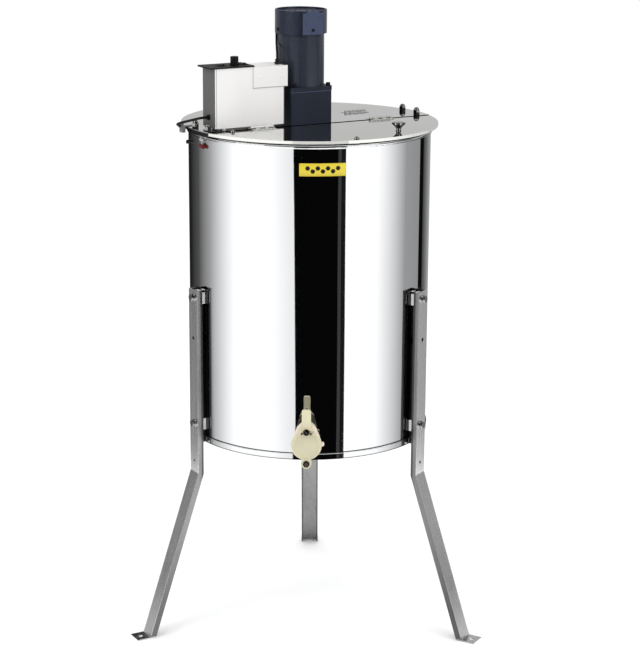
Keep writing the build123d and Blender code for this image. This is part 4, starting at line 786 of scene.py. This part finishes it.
def upper_brightness(azimuth, height):
    """Brightness above it: a back panel that darkens upwards, and two softboxes with a gap between."""
    if abs(azimuth) > BACK_FROM:
        rise = min(1, max(0, (height - BACK_FADE_Z) / BACK_FADE))
        return BACK_LOW + (BACK_HIGH - BACK_LOW) * rise
    for centre, half, strength in SOFTBOXES:
        if abs(azimuth - centre) < half and height > SOFTBOX_FOOT:
            return strength
    return GAP if abs(azimuth) < GAP_HALF else SURROUND


def ring_material():
    """Light whose brightness is stored on the ring's corners."""
    material = bpy.data.materials.new("studio_ring")
    material.use_nodes = True
    material.cycles.emission_sampling = "NONE"
    tree = material.node_tree
    tree.nodes.clear()
    output = tree.nodes.new("ShaderNodeOutputMaterial")
    emission = tree.nodes.new("ShaderNodeEmission")
    attribute = tree.nodes.new("ShaderNodeAttribute")
    attribute.attribute_name = "glow"
    tree.links.new(attribute.outputs["Color"], emission.inputs["Color"])
    tree.links.new(emission.outputs["Emission"], output.inputs["Surface"])
    return material


def ring_mesh():
    """Tall ring of panels, closed at the top, with a brightness for the foot and head of each face."""
    edges = ring_edges()
    upper = [RING_SPLIT + UPPER_BAND * band for band in range(UPPER_BANDS + 1)]
    levels = [RING_FOOT] + upper + [RING_TOP]
    top = len(levels) - 1
    vertices = []
    faces = []
    values = []
    for step in range(RING_STEPS):
        here = step * len(levels)
        after = ((step + 1) % RING_STEPS) * len(levels)
        middle = 360 * (step + 0.5) / RING_STEPS - 180
        lower = lower_brightness(middle, edges)
        vertices += [around(360 * step / RING_STEPS - 180, RING_R, level) for level in levels]
        faces += [(here + band, after + band, after + band + 1, here + band + 1) for band in range(top)]
        values.append((lower, lower))
        for foot, head in zip(levels[1:], levels[2:]):
            values.append((upper_brightness(middle, foot), upper_brightness(middle, head)))
    faces.append([step * len(levels) + top for step in range(RING_STEPS)])
    values.append((CEILING, CEILING))
    mesh = bpy.data.meshes.new("studio_ring")
    mesh.from_pydata(vertices, [], faces)
    layer = mesh.color_attributes.new("glow", "FLOAT_COLOR", "CORNER")
    for face, (foot, head) in zip(mesh.polygons, values):
        for order, corner in enumerate(face.loop_indices):
            value = foot if order < 2 else head
            layer.data[corner].color = (value, value, value, 1)
    return mesh


def add_ring():
    """Put up the ring so that only mirror surfaces see it."""
    mesh = ring_mesh()
    mesh.materials.append(ring_material())
    ring = bpy.data.objects.new("studio_ring", mesh)
    bpy.context.scene.collection.objects.link(ring)
    ring.visible_camera = False
    ring.visible_diffuse = False
    ring.visible_shadow = False
    ring.visible_transmission = False
    ring.visible_volume_scatter = False


# ---------------------------------------------------------------- floor and lights
FLOOR_SIZE = 30
# Name, place, target, side and power of each area light.
AREA_LIGHTS = (
    ("key_light", (-2.2, -2.6, 3.4), (0, 0, 0.8), 1.6, 45),
    ("fill_light", (2.6, -2.2, 2.6), (0, 0, 0.8), 1.6, 22),
    ("top_light", (0, 0.6, 3.6), (0, 0, 1.0), 2.0, 18),
)
SKY = 1.04


def build_floor(work):
    """One large square."""
    bmesh.ops.create_grid(work, x_segments=1, y_segments=1, size=FLOOR_SIZE)


def add_floor():
    """Pale matt floor under the object."""
    mesh = mesh_from("floor", build_floor)
    floor = bpy.data.objects.new("floor", mesh)
    bpy.context.scene.collection.objects.link(floor)
    paint = Surface("floor_paint", Roughness=0.9)
    paint.drive("Base Color", paint.ramp(paint.noise(3), 0.95, 0.97))
    mesh.materials.append(paint.material)


def add_area(name, place, target, side, power):
    """Soft square light aimed at a point, unseen by mirror surfaces."""
    data = bpy.data.lights.new(name, "AREA")
    data.shape = "SQUARE"
    data.size = side
    data.energy = power
    light = bpy.data.objects.new(name, data)
    bpy.context.scene.collection.objects.link(light)
    light.location = place
    light.rotation_euler = (Vector(target) - Vector(place)).to_track_quat("-Z", "Y").to_euler()
    light.visible_glossy = False


add_ring()
add_floor()
world = bpy.data.worlds.new("studio")
world.use_nodes = True
background = world.node_tree.nodes["Background"]
background.inputs["Color"].default_value = (1, 1, 1, 1)
background.inputs["Strength"].default_value = SKY
bpy.context.scene.world = world
for area_light in AREA_LIGHTS:
    add_area(*area_light)
